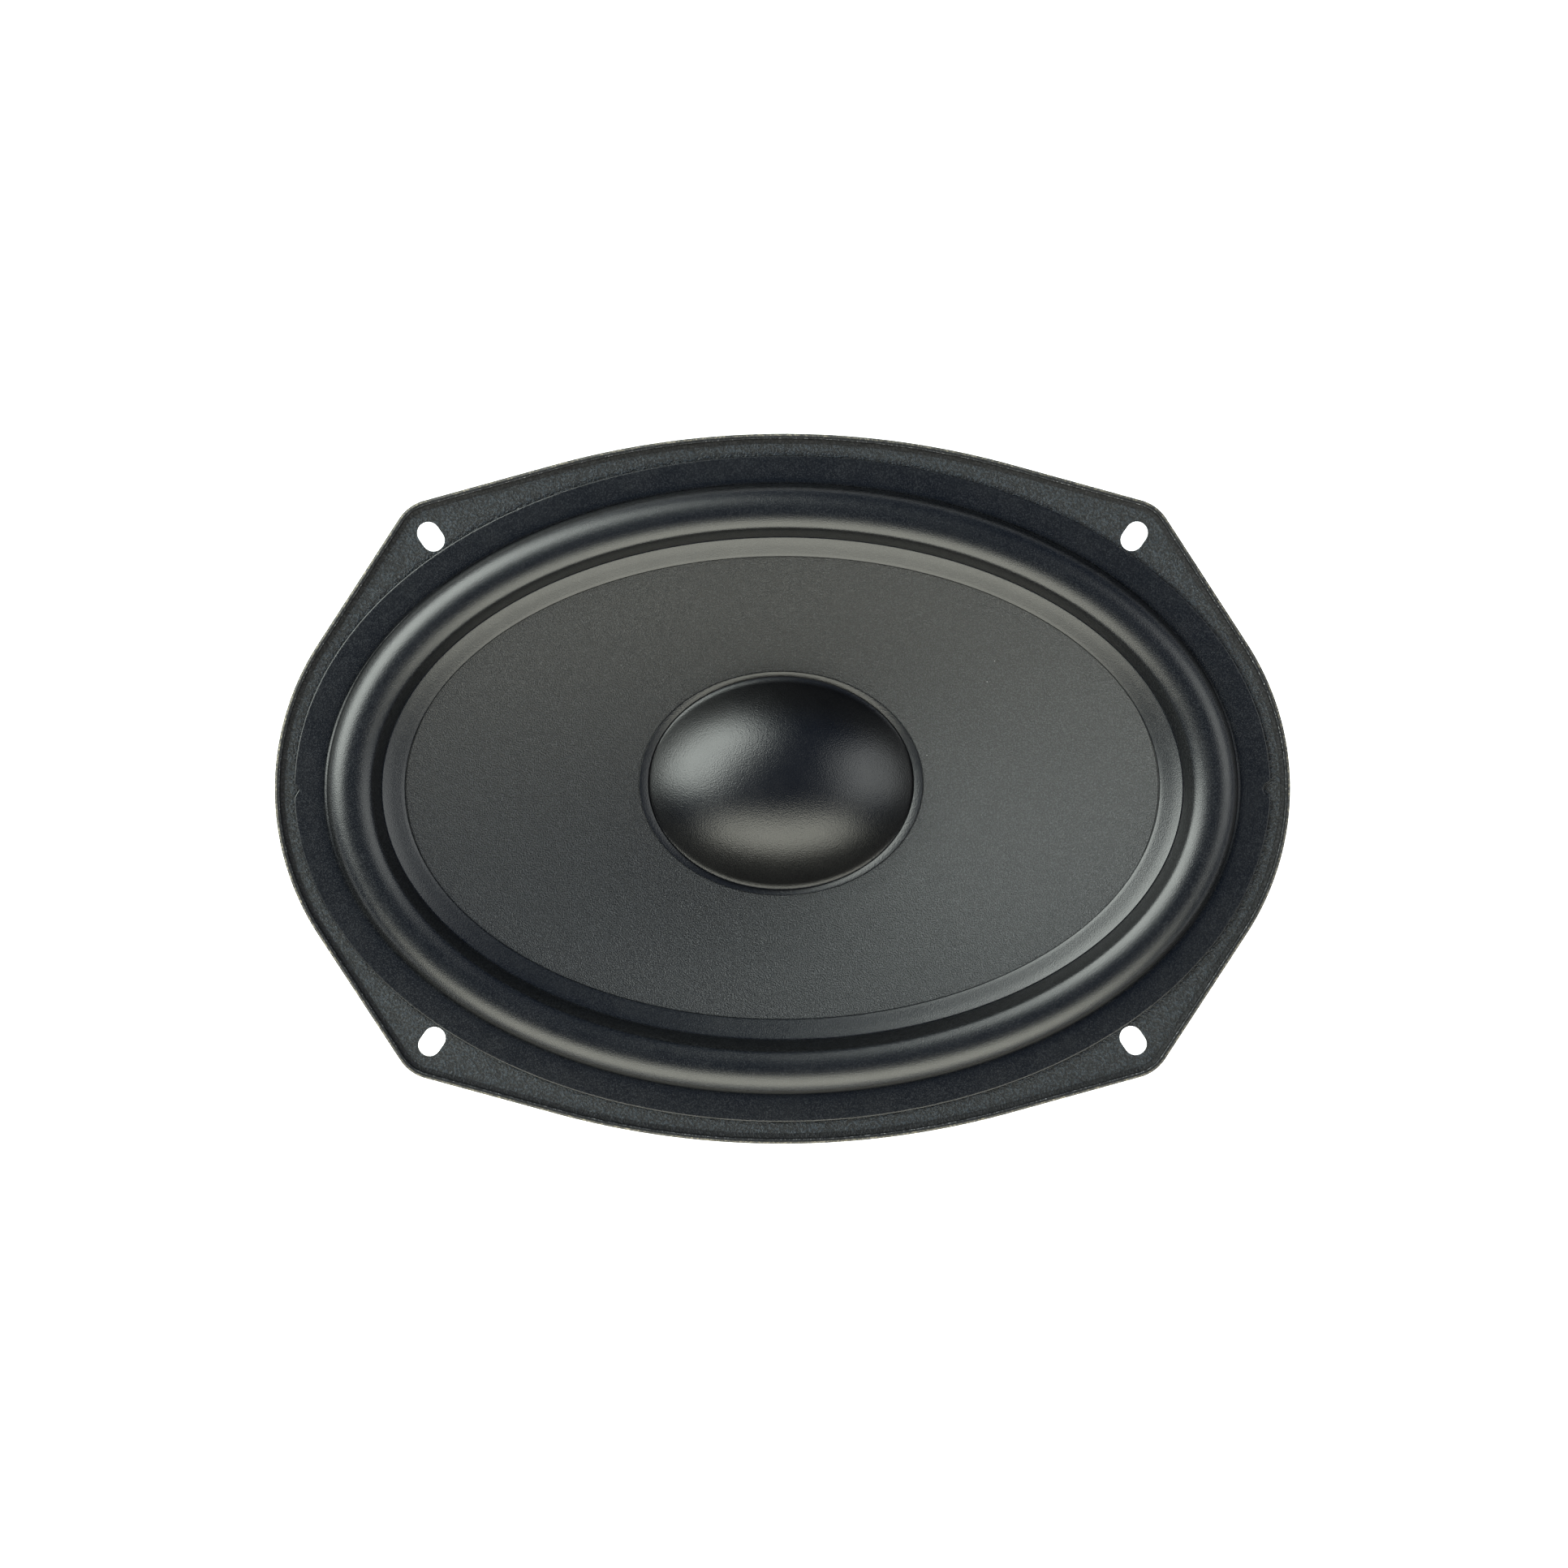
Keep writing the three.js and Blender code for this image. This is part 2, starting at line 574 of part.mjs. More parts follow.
// ---------- materials ----------

const finishes = {
  powderCoat: { color: 0x17191c, roughness: 0.6, metalness: 0.1 },
  rubber: { color: 0x1b1c1d, roughness: 0.45, metalness: 0 },
  cone: { color: 0x2c2d2e, roughness: 0.75, metalness: 0 },
  cap: { color: 0x0c0c0d, roughness: 0.3, metalness: 0 },
  kapton: { color: 0x9a5b1c, roughness: 0.4, metalness: 0 },
  copper: { color: 0xb0683a, roughness: 0.35, metalness: 1 },
  kraft: { color: 0x8a6a45, roughness: 0.85, metalness: 0 },
  cloth: { color: 0xb08a3c, roughness: 0.9, metalness: 0 },
  zinc: { color: 0xa8a9a5, roughness: 0.35, metalness: 1 },
  ferrite: { color: 0x2b2b2d, roughness: 0.55, metalness: 0 },
  foam: { color: 0x161616, roughness: 0.95, metalness: 0 },
  phenolic: { color: 0x5a3417, roughness: 0.5, metalness: 0 },
  tin: { color: 0xc9c7be, roughness: 0.25, metalness: 1 },
  braid: { color: 0xb9b4a6, roughness: 0.5, metalness: 1 },
};

// ---------- the assembly ----------

const group = new THREE.Group();

function piece(name, geometry, finish, x = 0, y = 0) {
  const mesh = new THREE.Mesh(geometry, new THREE.MeshStandardMaterial(finishes[finish]));
  mesh.name = name;
  mesh.position.set(x, y, 0);
  group.add(mesh);
}

piece("basket", basket(), "powderCoat");
piece("rear_gasket", rearGasket(), "foam");
piece("surround", surround(), "rubber");
piece("cone", cone(), "cone");
piece("dust_cap", dustCap(), "cap");
piece("voice_coil_former", ring(FORMER.inner, FORMER.outer, FORMER.low, FORMER.high), "kapton");
piece("voice_coil_winding", ring(WINDING.inner, WINDING.outer, WINDING.low, WINDING.high), "copper");
piece("former_collar", ring(COLLAR.inner, COLLAR.outer, COLLAR.low, COLLAR.high), "kraft");
piece("spider", spider(), "cloth");
piece("top_plate", topPlate(), "zinc");
const magnetLow = BACK_PLATE.thick;
piece("magnet_ring", ring(MAGNET.inner, MAGNET.outer, magnetLow, MAGNET.high, MAGNET.chamfer), "ferrite");
piece("back_plate", ring(POLE.vent, BACK_PLATE.r, 0, BACK_PLATE.thick, BACK_PLATE.chamfer), "zinc");
piece("pole_piece", ring(POLE.vent, POLE.r, magnetLow, POLE.high, POLE.chamfer), "zinc");
piece("vent_screen", ventScreen(), "zinc");
plateRivetPlaces().forEach(({ x, y }, i) => piece("plate_rivet_" + (i + 1), plateRivet(), "zinc", x, y));
piece("terminal_board", terminalBoard(), "phenolic");
for (const [i, sy] of [-1, 1].entries()) {
  piece("board_rivet_" + (i + 1), boardRivet(), "zinc", BOARD_RIVET.x, sy * BOARD_RIVET.y);
}
for (const [pole, sy] of [["positive", 1], ["negative", -1]]) {
  piece("terminal_tab_" + pole, terminalTab(TAB_WIDTH[pole]), "tin", 0, sy * TAB.y);
  piece("tab_eyelet_" + pole, eyelet(), "tin", EYELET.x, sy * TAB.y);
  piece("tinsel_lead_" + pole, tinselLead(sy), "braid");
}

export default group;
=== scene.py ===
"""Looks of the oval car woofer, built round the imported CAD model.

Shapes are worked out in millimetres in the model's own frame and scaled to metres as each mesh is made.
Every heavy or visible CAD node is replaced by a finer piece of the same size in the same place.
"""

import math

import bpy
import numpy as np
from mathutils import Matrix, Vector


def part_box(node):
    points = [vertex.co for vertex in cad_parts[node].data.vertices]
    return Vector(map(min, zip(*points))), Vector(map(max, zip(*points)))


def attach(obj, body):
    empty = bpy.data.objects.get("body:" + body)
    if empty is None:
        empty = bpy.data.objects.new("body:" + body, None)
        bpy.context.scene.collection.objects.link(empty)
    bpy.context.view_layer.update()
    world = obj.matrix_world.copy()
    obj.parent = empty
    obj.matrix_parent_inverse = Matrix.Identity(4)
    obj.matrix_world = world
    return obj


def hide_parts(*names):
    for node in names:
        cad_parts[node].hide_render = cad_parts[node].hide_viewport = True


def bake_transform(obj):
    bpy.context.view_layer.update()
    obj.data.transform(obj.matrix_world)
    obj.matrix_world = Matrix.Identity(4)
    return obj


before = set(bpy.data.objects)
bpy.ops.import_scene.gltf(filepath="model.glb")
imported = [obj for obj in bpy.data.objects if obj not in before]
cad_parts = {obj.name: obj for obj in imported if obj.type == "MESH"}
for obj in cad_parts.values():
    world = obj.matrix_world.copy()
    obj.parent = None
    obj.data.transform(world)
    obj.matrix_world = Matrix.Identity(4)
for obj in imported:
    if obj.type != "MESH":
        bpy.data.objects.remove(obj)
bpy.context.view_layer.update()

MM = 0.001
FRAME_BODY = "frame"
MOVING_BODY = "cone_assembly"

# Steps round the oval pieces and round the turned ones.
OVAL_STEPS = 480
ROUND_STEPS = 128


# ---------- places taken from the frame ----------


def low(node):
    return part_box(node)[0] / MM


def high(node):
    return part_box(node)[1] / MM


def heights(node):
    return low(node).z, high(node).z


# Gap left between glued or stacked pieces.
GAP = 0.05
# The basket's steel sheet, and the radius it is bent to at the flange.
SHEET = 1.2
BEND = 1.5
FLANGE_BACK = high("rear_gasket").z
FLANGE_FRONT = FLANGE_BACK + SHEET
FLOOR_BACK = low("basket").z
SHELF_BACK = low("terminal_board").z - GAP - SHEET
SHELF_FRONT = SHELF_BACK + SHEET
TAB_FRONT = high("terminal_tab_positive").z

# Flange outline: three kinds of arc, each with its centre, radius and the angles it spans, in degrees.
SIDE_ARC_X, SIDE_ARC_R, SIDE_HALF = 55.8, 61.7, 33.0
TOP_ARC_Y, TOP_ARC_R, TOP_HALF = -116.8, 199.1, 15.4
CORNER_R = 10.1
# The flange's upturned lip, and the width and height of the fillet at its inner foot.
LIP_HEIGHT = 1.6
LIP_THICK = 1.1
LIP_FOOT = (1.7, 0.9)
SLOT_X, SLOT_Y, SLOT_LENGTH, SLOT_WIDTH, SLOT_ANGLE = 81.3, 58.5, 7.2, 5.2, 55.0

# Ovals, as half the long axis, half the short axis and, where it has one, the height.
BASKET_HOLE = (104.4, 69.7)
RUBBER_EDGE = (113.0, 77.2)
ROLL_OUTER = (105.5, 70.75)
ROLL_INNER = (92.9, 58.4)
CONE_SEEN_EDGE = (87.4, 53.65)
CONE_EDGE = (92.0, 57.6, 76.3)
CONE_NECK = (18.1, 18.1, 50.0)
CAP_FOOT = (30.7, 23.9)
CAP_SKIRT = 33.2
CONE_THICK = 0.9
RUBBER_THICK = 0.8
ROLL_HEIGHT = 5.3
# The roll's inner foot is lower than its outer one. These shares of the drop, at the ends of the long and
# of the short axis, are spread evenly across the roll. The rest is in its inner wall, which starts this
# far across.
LEAN_AT_SIDES, LEAN_AT_TOP = 0.55, 0.12
ROLL_WALL_START = 0.8
CAP_HEIGHT = 11.0

# Windows punched in the basket's slope: middle and half width, in degrees.
WINDOWS = [(0, 27), (180, 27), (64, 21), (116, 21), (244, 21), (296, 21)]
WINDOW_LOW, WINDOW_HIGH = 0.12, 0.88
# Middles of the legs between the windows, in degrees, and the stiffening bead down each.
LEGS = [35, 90, 145, 215, 270, 325]
BEAD_HALF, BEAD_HALF_ON_SHORT_AXIS, BEAD_FLANK, BEAD_DEPTH = 4.2, 2.6, 1.6, 1.3


# ---------- mesh helpers ----------


def added(name, data):
    """A new object in the scene."""
    obj = bpy.data.objects.new(name, data)
    bpy.context.scene.collection.objects.link(obj)
    return obj


def make_object(name, vertices, faces, finish, sharp=35, body=FRAME_BODY):
    """A mesh object from millimetre vertices, shaded smooth with creases over `sharp` degrees."""
    mesh = bpy.data.meshes.new(name)
    mesh.from_pydata((np.asarray(vertices, float) * MM).tolist(), [], [list(map(int, f)) for f in faces])
    mesh.validate()
    mesh.update()
    obj = added(name, mesh)
    if finish:
        mesh.materials.append(MATERIALS[finish])
    shade(mesh, sharp)
    if body:
        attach(obj, body)
    return obj


def shade(mesh, sharp):
    mesh.shade_smooth()
    mesh.set_sharp_from_angle(angle=math.radians(sharp))


def smooth_step(value, start, end):
    t = np.clip((np.asarray(value, float) - start) / (end - start), 0, 1)
    return t * t * (3 - 2 * t)


def grid_faces(rows, columns, close_rows=True):
    """Quads over a grid of points that closes on itself round its columns, and round its rows if asked."""
    faces = []
    for row in range(rows if close_rows else rows - 1):
        next_row = (row + 1) % rows
        for column in range(columns):
            after = (column + 1) % columns
            a = row * columns
            b = next_row * columns
            faces.append((a + column, a + after, b + after, b + column))
    return faces


def even_angles(count):
    return np.arange(count) * 2 * math.pi / count


def skin_points(angles, stations, lift=None):
    """Points and normals of the surface through oval stations (a, b, z)."""
    s = np.asarray(stations, float)
    cos, sin = np.cos(angles)[None, :], np.sin(angles)[None, :]
    points = np.stack([s[:, :1] * cos, s[:, 1:2] * sin, np.repeat(s[:, 2:3], len(angles), 1)], -1)
    around = np.stack([-s[:, :1] * sin, s[:, 1:2] * cos, np.zeros(points.shape[:2])], -1)

    def normals():
        return unit(np.cross(around, np.gradient(points, axis=0)))

    if lift is not None:
        points = points + normals() * lift[:, :, None]
    return points, normals()


def skin(angles, stations, thick, edge=None):
    """A thin closed skin with rounded rims, which faces +Z where the stations run inwards.

    `thick` is its depth, or its depth at each station; `edge` may move the front points first.
    """
    points, normals = skin_points(angles, stations)
    if edge is not None:
        points = edge(points)
    thick = np.broadcast_to(thick, len(points))
    back = points - normals * thick[:, None, None]
    bulge = 0.35
    inner_rim = (points[-1] + back[-1]) / 2 + unit(points[-1] - points[-2]) * thick[-1] * bulge
    outer_rim = (points[0] + back[0]) / 2 + unit(points[0] - points[1]) * thick[0] * bulge
    rows = np.concatenate([points, inner_rim[None], back[::-1], outer_rim[None]])
    return rows.reshape(-1, 3), grid_faces(len(rows), len(angles))


def unit(vectors):
    return vectors / np.linalg.norm(vectors, axis=-1, keepdims=True)


def rounded(points, radius, steps=5, closed=False):
    """A polyline of any dimension with its corners rounded, each starting `radius` before the corner."""
    points = [np.asarray(p, float) for p in points]
    radii = radius if isinstance(radius, (list, tuple)) else [radius] * len(points)
    result = []
    for i, (point, r) in enumerate(zip(points, radii)):
        if not closed and i in (0, len(points) - 1) or r == 0:
            result.append(point)
            continue
        before, after = points[i - 1], points[(i + 1) % len(points)]
        start = point + unit(before - point) * min(r, 0.49 * np.linalg.norm(before - point))
        end = point + unit(after - point) * min(r, 0.49 * np.linalg.norm(after - point))
        for t in np.linspace(0, 1, steps + 1):
            result.append((1 - t) ** 2 * start + 2 * t * (1 - t) * point + t**2 * end)
    return result


def turned(profile, steps=ROUND_STEPS, at=(0, 0)):
    """A closed profile carried round the Z axis; its points on the axis become poles.

    Its points are (radius, z), or (half long axis, z, half short axis) for an oval.
    """
    vertices, rings = [], []
    angles = even_angles(steps)
    for r, z, *across in profile:
        if r < 1e-6:
            rings.append([len(vertices)])
            vertices.append((at[0], at[1], z))
            continue
        rings.append(list(range(len(vertices), len(vertices) + steps)))
        for angle in angles:
            vertices.append((at[0] + r * math.cos(angle), at[1] + (across or [r])[0] * math.sin(angle), z))
    faces = []
    for ring, following in zip(rings, rings[1:] + rings[:1]):
        if len(ring) == 1 and len(following) == 1:
            continue
        for i in range(steps):
            j = (i + 1) % steps
            if len(ring) == 1:
                faces.append((ring[0], following[j], following[i]))
            elif len(following) == 1:
                faces.append((ring[i], ring[j], following[0]))
            else:
                faces.append((ring[i], ring[j], following[j], following[i]))
    return vertices, faces


def tube(path, section, turns=0.0):
    """A section of 2-D points carried along a path of 3-D points, twisting by `turns`, with flat ends."""
    path = np.asarray(path, float)
    tangents = unit(np.gradient(path, axis=0))
    side = unit(np.cross(tangents, (0, 0, 1)))
    over = np.cross(side, tangents)
    vertices = []
    for i, point in enumerate(path):
        twist = 2 * math.pi * turns * i / (len(path) - 1)
        for u, v in section:
            x = u * math.cos(twist) - v * math.sin(twist)
            y = u * math.sin(twist) + v * math.cos(twist)
            vertices.append(point + side[i] * x + over[i] * y)
    count = len(section)
    faces = grid_faces(len(path), count, close_rows=False)
    faces.append(tuple(range(count - 1, -1, -1)))
    faces.append(tuple(range((len(path) - 1) * count, len(path) * count)))
    return vertices, faces


def smooth_path(points, steps):
    """A Catmull-Rom curve through the points."""
    p = np.asarray(points, float)
    p = np.vstack([2 * p[0] - p[1], p, 2 * p[-1] - p[-2]])
    result = []
    for i in range(1, len(p) - 2):
        for t in np.arange(steps) / steps:
            a, b, c, d = p[i - 1], p[i], p[i + 1], p[i + 2]
            square = (2 * a - 5 * b + 4 * c - d) * t**2
            cube = (3 * b - a - 3 * c + d) * t**3
            result.append(0.5 * (2 * b + (c - a) * t + square + cube))
    result.append(p[-2])
    return np.array(result)


def joined(parts):
    """Several (vertices, faces) shells as one."""
    vertices, faces = [], []
    for part_vertices, part_faces in parts:
        start = len(vertices)
        vertices.extend(map(tuple, np.asarray(part_vertices, float)))
        faces.extend(tuple(start + i for i in face) for face in part_faces)
    return vertices, faces


def extruded(outline, bottom, top):
    """A closed 2-D outline made solid between two heights."""
    count = len(outline)
    vertices = [(x, y, bottom) for x, y in outline] + [(x, y, top) for x, y in outline]
    faces = [tuple(range(count - 1, -1, -1)), tuple(range(count, 2 * count))]
    return vertices, faces + grid_faces(2, count, close_rows=False)


def apply_boolean(obj, tool_parts, operation):
    """Joins to or cuts from obj the shells in tool_parts."""
    tool = make_object("tool", *joined(tool_parts), None, body=None)
    modifier = obj.modifiers.new("boolean", "BOOLEAN")
    modifier.operation = operation
    modifier.solver = "MANIFOLD"
    modifier.object = tool
    replace_by_result(obj)
    bpy.data.objects.remove(tool)


def replace_by_result(obj):
    """Applies obj's modifiers to its mesh."""
    graph = bpy.context.evaluated_depsgraph_get()
    graph.update()
    result = bpy.data.meshes.new_from_object(obj.evaluated_get(graph))
    obj.modifiers.clear()
    old = obj.data
    obj.data = result
    bpy.data.meshes.remove(old)


def blend_by(obj, weight):
    """Bakes obj's transform and works out, from weight, how far each vertex would follow the moving body; the
    weights are not applied.
    """
    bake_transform(obj)
    points = np.array([v.co for v in obj.data.vertices]) / MM
    weights = np.clip(weight(points), 0, 1)


# ---------- materials ----------

# Each finish under its name, filed as it is made.
MATERIALS = {}


class Finish:
    """A Principled material whose colour, roughness and relief come from noise in the piece's own space."""

    def __init__(self, name, **sockets):
        material = bpy.data.materials.new(name)
        material.use_nodes = True
        MATERIALS[name] = material
        self.tree = material.node_tree
        self.shader = self.tree.nodes["Principled BSDF"]
        for socket, value in sockets.items():
            self.shader.inputs[socket.replace("_", " ")].default_value = value
        self.place = self.node("TexCoord").outputs["Object"]

    def node(self, kind, **settings):
        made = self.tree.nodes.new("ShaderNode" + kind)
        for name, value in settings.items():
            setattr(made, name, value)
        return made

    def link(self, output, target):
        self.tree.links.new(output, target)

    def noise(self, size_mm, detail=2.0, roughness=0.5):
        """Noise whose grains are about size_mm across."""
        made = self.node("TexNoise")
        made.inputs["Scale"].default_value = 1 / (size_mm * MM)
        made.inputs["Detail"].default_value = detail
        made.inputs["Roughness"].default_value = roughness
        self.link(self.place, made.inputs["Vector"])
        return made.outputs["Fac"]

    def cells(self, size_mm, output="Distance"):
        """Scattered cells: the distance to each one's middle, or its own chance colour."""
        made = self.node("TexVoronoi")
        made.inputs["Scale"].default_value = 1 / (size_mm * MM)
        self.link(self.place, made.inputs["Vector"])
        return made.outputs[output]

    def spread(self, value, low_in, high_in, low_out, high_out):
        """Maps a range of value evenly to another, and clamps it at the ends."""
        made = self.node("MapRange")
        sockets = ("From Min", "From Max", "To Min", "To Max")
        for socket, number in zip(sockets, (low_in, high_in, low_out, high_out)):
            made.inputs[socket].default_value = number
        self.link(value, made.inputs["Value"])
        return made.outputs["Result"]

    def maths(self, operation, first, second):
        made = self.node("Math", operation=operation)
        for socket, value in zip(made.inputs, (first, second)):
            if isinstance(value, (int, float)):
                socket.default_value = value
            else:
                self.link(value, socket)
        return made.outputs[0]

    def ramp(self, value, stops):
        made = self.node("ValToRGB")
        ramp = made.color_ramp
        while len(ramp.elements) < len(stops):
            ramp.elements.new(0.5)
        for element, (position, colour) in zip(ramp.elements, stops):
            element.position = position
            element.color = (*colour, 1)
        self.link(value, made.inputs["Fac"])
        return made.outputs["Color"]

    def mix(self, factor, first, second):
        """Colours mixed by a factor; each is an output or a fixed colour."""
        made = self.node("Mix", data_type="RGBA")
        self.link(factor, made.inputs[0])
        for socket, value in ((made.inputs[6], first), (made.inputs[7], second)):
            if isinstance(value, tuple):
                socket.default_value = (*value, 1)
            else:
                self.link(value, socket)
        return made.outputs[2]

    def colour(self, output):
        self.link(output, self.shader.inputs["Base Color"])

    def roughness(self, output):
        self.link(output, self.shader.inputs["Roughness"])

    def relief(self, *layers):
        """Bumps the surface by (height output, depth in mm) layers, one after the other."""
        normal = None
        for height, depth in layers:
            made = self.node("Bump")
            made.inputs["Distance"].default_value = depth * MM
            self.link(height, made.inputs["Height"])
            if normal:
                self.link(normal, made.inputs["Normal"])
            normal = made.outputs["Normal"]
        self.link(normal, self.shader.inputs["Normal"])


def powder_coat():
    """Wrinkled blue-black powder coat: shiny ridges, dark pits."""
    f = Finish("powder_coat", Metallic=0.0, Specular_IOR_Level=0.33)
    wrinkle = f.noise(0.5, 2.5, 0.6)
    f.colour(f.ramp(wrinkle, [(0.46, (0.0004, 0.0006, 0.0008)), (0.66, (0.015, 0.02, 0.025))]))
    f.roughness(f.spread(wrinkle, 0.38, 0.62, 0.54, 0.36))
    f.relief((f.noise(1.6, 1), 0.10), (wrinkle, 0.35))


def fold_painted_shade():
    """Painted shade in the fold at the foot of the lip: the coat there is blacker than on the flat, to stand
    in for the shadow in the fold.
    """
    f = Finish("fold_painted_shade", Metallic=0.0, Specular_IOR_Level=0.25)
    wrinkle = f.noise(0.5, 2.5, 0.6)
    f.colour(f.ramp(wrinkle, [(0.5, (0.0003, 0.0003, 0.0005)), (0.7, (0.008, 0.0085, 0.011))]))
    f.roughness(f.spread(wrinkle, 0.38, 0.62, 0.65, 0.45))
    f.relief((wrinkle, 0.3))


def patchy_edge(name, size_mm, stops, rough, depth):
    """An edge made patchy by noise, in colours that mix worn spots with painted light along the edge."""
    f = Finish(name, Metallic=0.0)
    patches = f.noise(size_mm, 3, 0.7)
    f.colour(f.ramp(patches, stops))
    f.roughness(f.spread(patches, 0.3, 0.7, *rough))
    f.relief((patches, depth))


def worn_edge_and_glow():
    """The flange's cut edge, where the coat is thin and the steel has browned; its tan is partly a painted
    glow of the bright backdrop round the edge.
    """
    coated, thin, bare_and_glow = (0.004, 0.0035, 0.003), (0.04, 0.035, 0.026), (0.22, 0.195, 0.14)
    patchy_edge("worn_edge_and_glow", 0.6, [(0.38, coated), (0.52, thin), (0.7, bare_and_glow)], (0.5, 0.75), 0.25)


def scuffs_and_highlight():
    """The lip's inner edge: coated, with light specks that are partly scuffs and partly a painted highlight
    along the edge.
    """
    coated, dull, bright = (0.001, 0.001, 0.002), (0.05, 0.055, 0.06), (0.45, 0.45, 0.45)
    patchy_edge("scuffs_and_highlight", 0.35, [(0.45, coated), (0.58, dull), (0.68, bright)], (0.35, 0.5), 0.2)


def rubber():
    """Satin moulded rubber with a fine dusty grain."""
    f = Finish("surround_rubber", Specular_IOR_Level=0.5)
    dust = f.noise(0.27, 2, 0.6)
    f.colour(f.ramp(dust, [(0.5, (0.0003, 0.0004, 0.0005)), (0.63, (0.0115, 0.0122, 0.013))]))
    f.roughness(f.spread(f.noise(6, 3), 0.3, 0.7, 0.29, 0.33))
    f.relief((dust, 0.05))


def cone_pulp():
    """Matte charcoal pulp with a fine pebble and rare pale specks."""
    f = Finish("cone_pulp", Specular_IOR_Level=0.53)
    grain = f.noise(0.32, 2, 0.65)
    base = f.ramp(grain, [(0.5, (0.0003, 0.0004, 0.0005)), (0.61, (0.017, 0.018, 0.0195))])
    speck_size = 0.55
    speck = f.spread(f.cells(speck_size, output="Color"), 0.965, 0.975, 0, 1)
    near = f.spread(f.cells(speck_size), 0.25, 0.15, 0, 1)
    f.colour(f.mix(f.maths("MULTIPLY", speck, near), base, (0.2, 0.2, 0.19)))
    f.roughness(f.spread(grain, 0.38, 0.62, 0.52, 0.38))
    f.relief((grain, 0.28))


def cap_gloss():
    """Semi-gloss black film with a leathery orange peel."""
    f = Finish("cap_gloss", Specular_IOR_Level=0.48)
    peel = f.noise(0.6, 2, 0.5)
    f.colour(f.ramp(peel, [(0.3, (0.0005, 0.0005, 0.0007)), (0.7, (0.0015, 0.0015, 0.0018))]))
    f.roughness(f.spread(f.noise(5, 2), 0.3, 0.7, 0.29, 0.32))
    f.relief((peel, 0.02), (f.noise(0.3, 2), 0.045))


def zinc_steel():
    """Zinc-plated steel with a bluish passivated layer."""
    f = Finish("zinc_steel", Metallic=1.0)
    cloud = f.noise(9, 4)
    f.colour(f.ramp(cloud, [(0.3, (0.11, 0.115, 0.12)), (0.7, (0.17, 0.17, 0.165))]))
    f.roughness(f.spread(f.noise(3, 4, 0.7), 0.3, 0.7, 0.3, 0.48))
    f.relief((f.noise(0.5, 3), 0.02))


def ferrite():
    """Sintered ferrite, ground on its faces."""
    f = Finish("ferrite", Specular_IOR_Level=0.4)
    grain = f.noise(0.6, 4, 0.7)
    f.colour(f.ramp(grain, [(0.3, (0.022, 0.022, 0.024)), (0.7, (0.05, 0.05, 0.052))]))
    f.roughness(f.spread(f.noise(7, 3), 0.3, 0.7, 0.45, 0.65))
    f.relief((grain, 0.05))


def woven(name, dark, light, pitch_mm, roughness):
    """Open cloth: two sets of threads that cross, stiffened with resin."""
    f = Finish(name, Roughness=roughness, Specular_IOR_Level=0.3)
    threads = []
    for axis in ("X", "Y"):
        wave = f.node("TexWave", bands_direction=axis)
        wave.inputs["Scale"].default_value = 1 / (pitch_mm * MM * math.pi)
        wave.inputs["Distortion"].default_value = 0.4
        f.link(f.place, wave.inputs["Vector"])
        threads.append(wave.outputs["Fac"])
    height = f.maths("MAXIMUM", *threads)
    tone = f.maths("MULTIPLY", height, f.spread(f.noise(4, 3), 0.3, 0.7, 0.75, 1.1))
    f.colour(f.ramp(tone, [(0.15, dark), (0.9, light)]))
    f.relief((height, 0.12))


def speckled(name, dark, light, size_mm, rough, metallic, depth):
    """A plain finish with one grain in its colour and relief, and a coarser one in its gloss."""
    f = Finish(name, Metallic=metallic)
    grain = f.noise(size_mm, 3, 0.6)
    f.colour(f.ramp(grain, [(0.3, dark), (0.7, light)]))
    f.roughness(f.spread(f.noise(size_mm * 4, 2), 0.3, 0.7, rough[0], rough[1]))
    f.relief((grain, depth))


powder_coat()
worn_edge_and_glow()
fold_painted_shade()
scuffs_and_highlight()
rubber()
cone_pulp()
cap_gloss()
zinc_steel()
ferrite()
woven("spider_cloth", (0.16, 0.075, 0.015), (0.52, 0.3, 0.085), 0.7, 0.8)

# Dark tone, light tone, size of the grain in mm, range of roughness, metallic, depth of the relief in mm.
SPECKLED = {
    "rivet_steel": ((0.13, 0.13, 0.13), (0.2, 0.2, 0.195), 0.8, (0.3, 0.45), 1, 0.03),
    "gasket_foam": ((0.008, 0.008, 0.008), (0.035, 0.035, 0.035), 0.5, (0.85, 0.95), 0, 0.25),
    "former_film": ((0.26, 0.1, 0.02), (0.38, 0.16, 0.035), 2.0, (0.25, 0.35), 0, 0.03),
    "copper_wire": ((0.42, 0.13, 0.05), (0.6, 0.22, 0.09), 1.0, (0.25, 0.35), 1, 0.03),
    "kraft_paper": ((0.2, 0.12, 0.055), (0.34, 0.21, 0.11), 0.4, (0.8, 0.9), 0, 0.03),
    "phenolic_board": ((0.06, 0.022, 0.008), (0.13, 0.055, 0.02), 0.7, (0.4, 0.55), 0, 0.03),
    "tinned_brass": ((0.2, 0.19, 0.165), (0.3, 0.285, 0.24), 1.2, (0.22, 0.36), 1, 0.015),
    "tinsel_braid": ((0.16, 0.13, 0.09), (0.28, 0.24, 0.18), 0.25, (0.35, 0.5), 1, 0.06),
    "glue": ((0.006, 0.006, 0.006), (0.014, 0.014, 0.014), 1.5, (0.2, 0.32), 0, 0.06),
}
for finish_name, look in SPECKLED.items():
    speckled(finish_name, *look)


def finished(obj, slot, *nodes):
    """Hides the CAD nodes that obj stands for; obj and slot are not used."""
    if nodes:
        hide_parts(*nodes)


# ---------- basket ----------


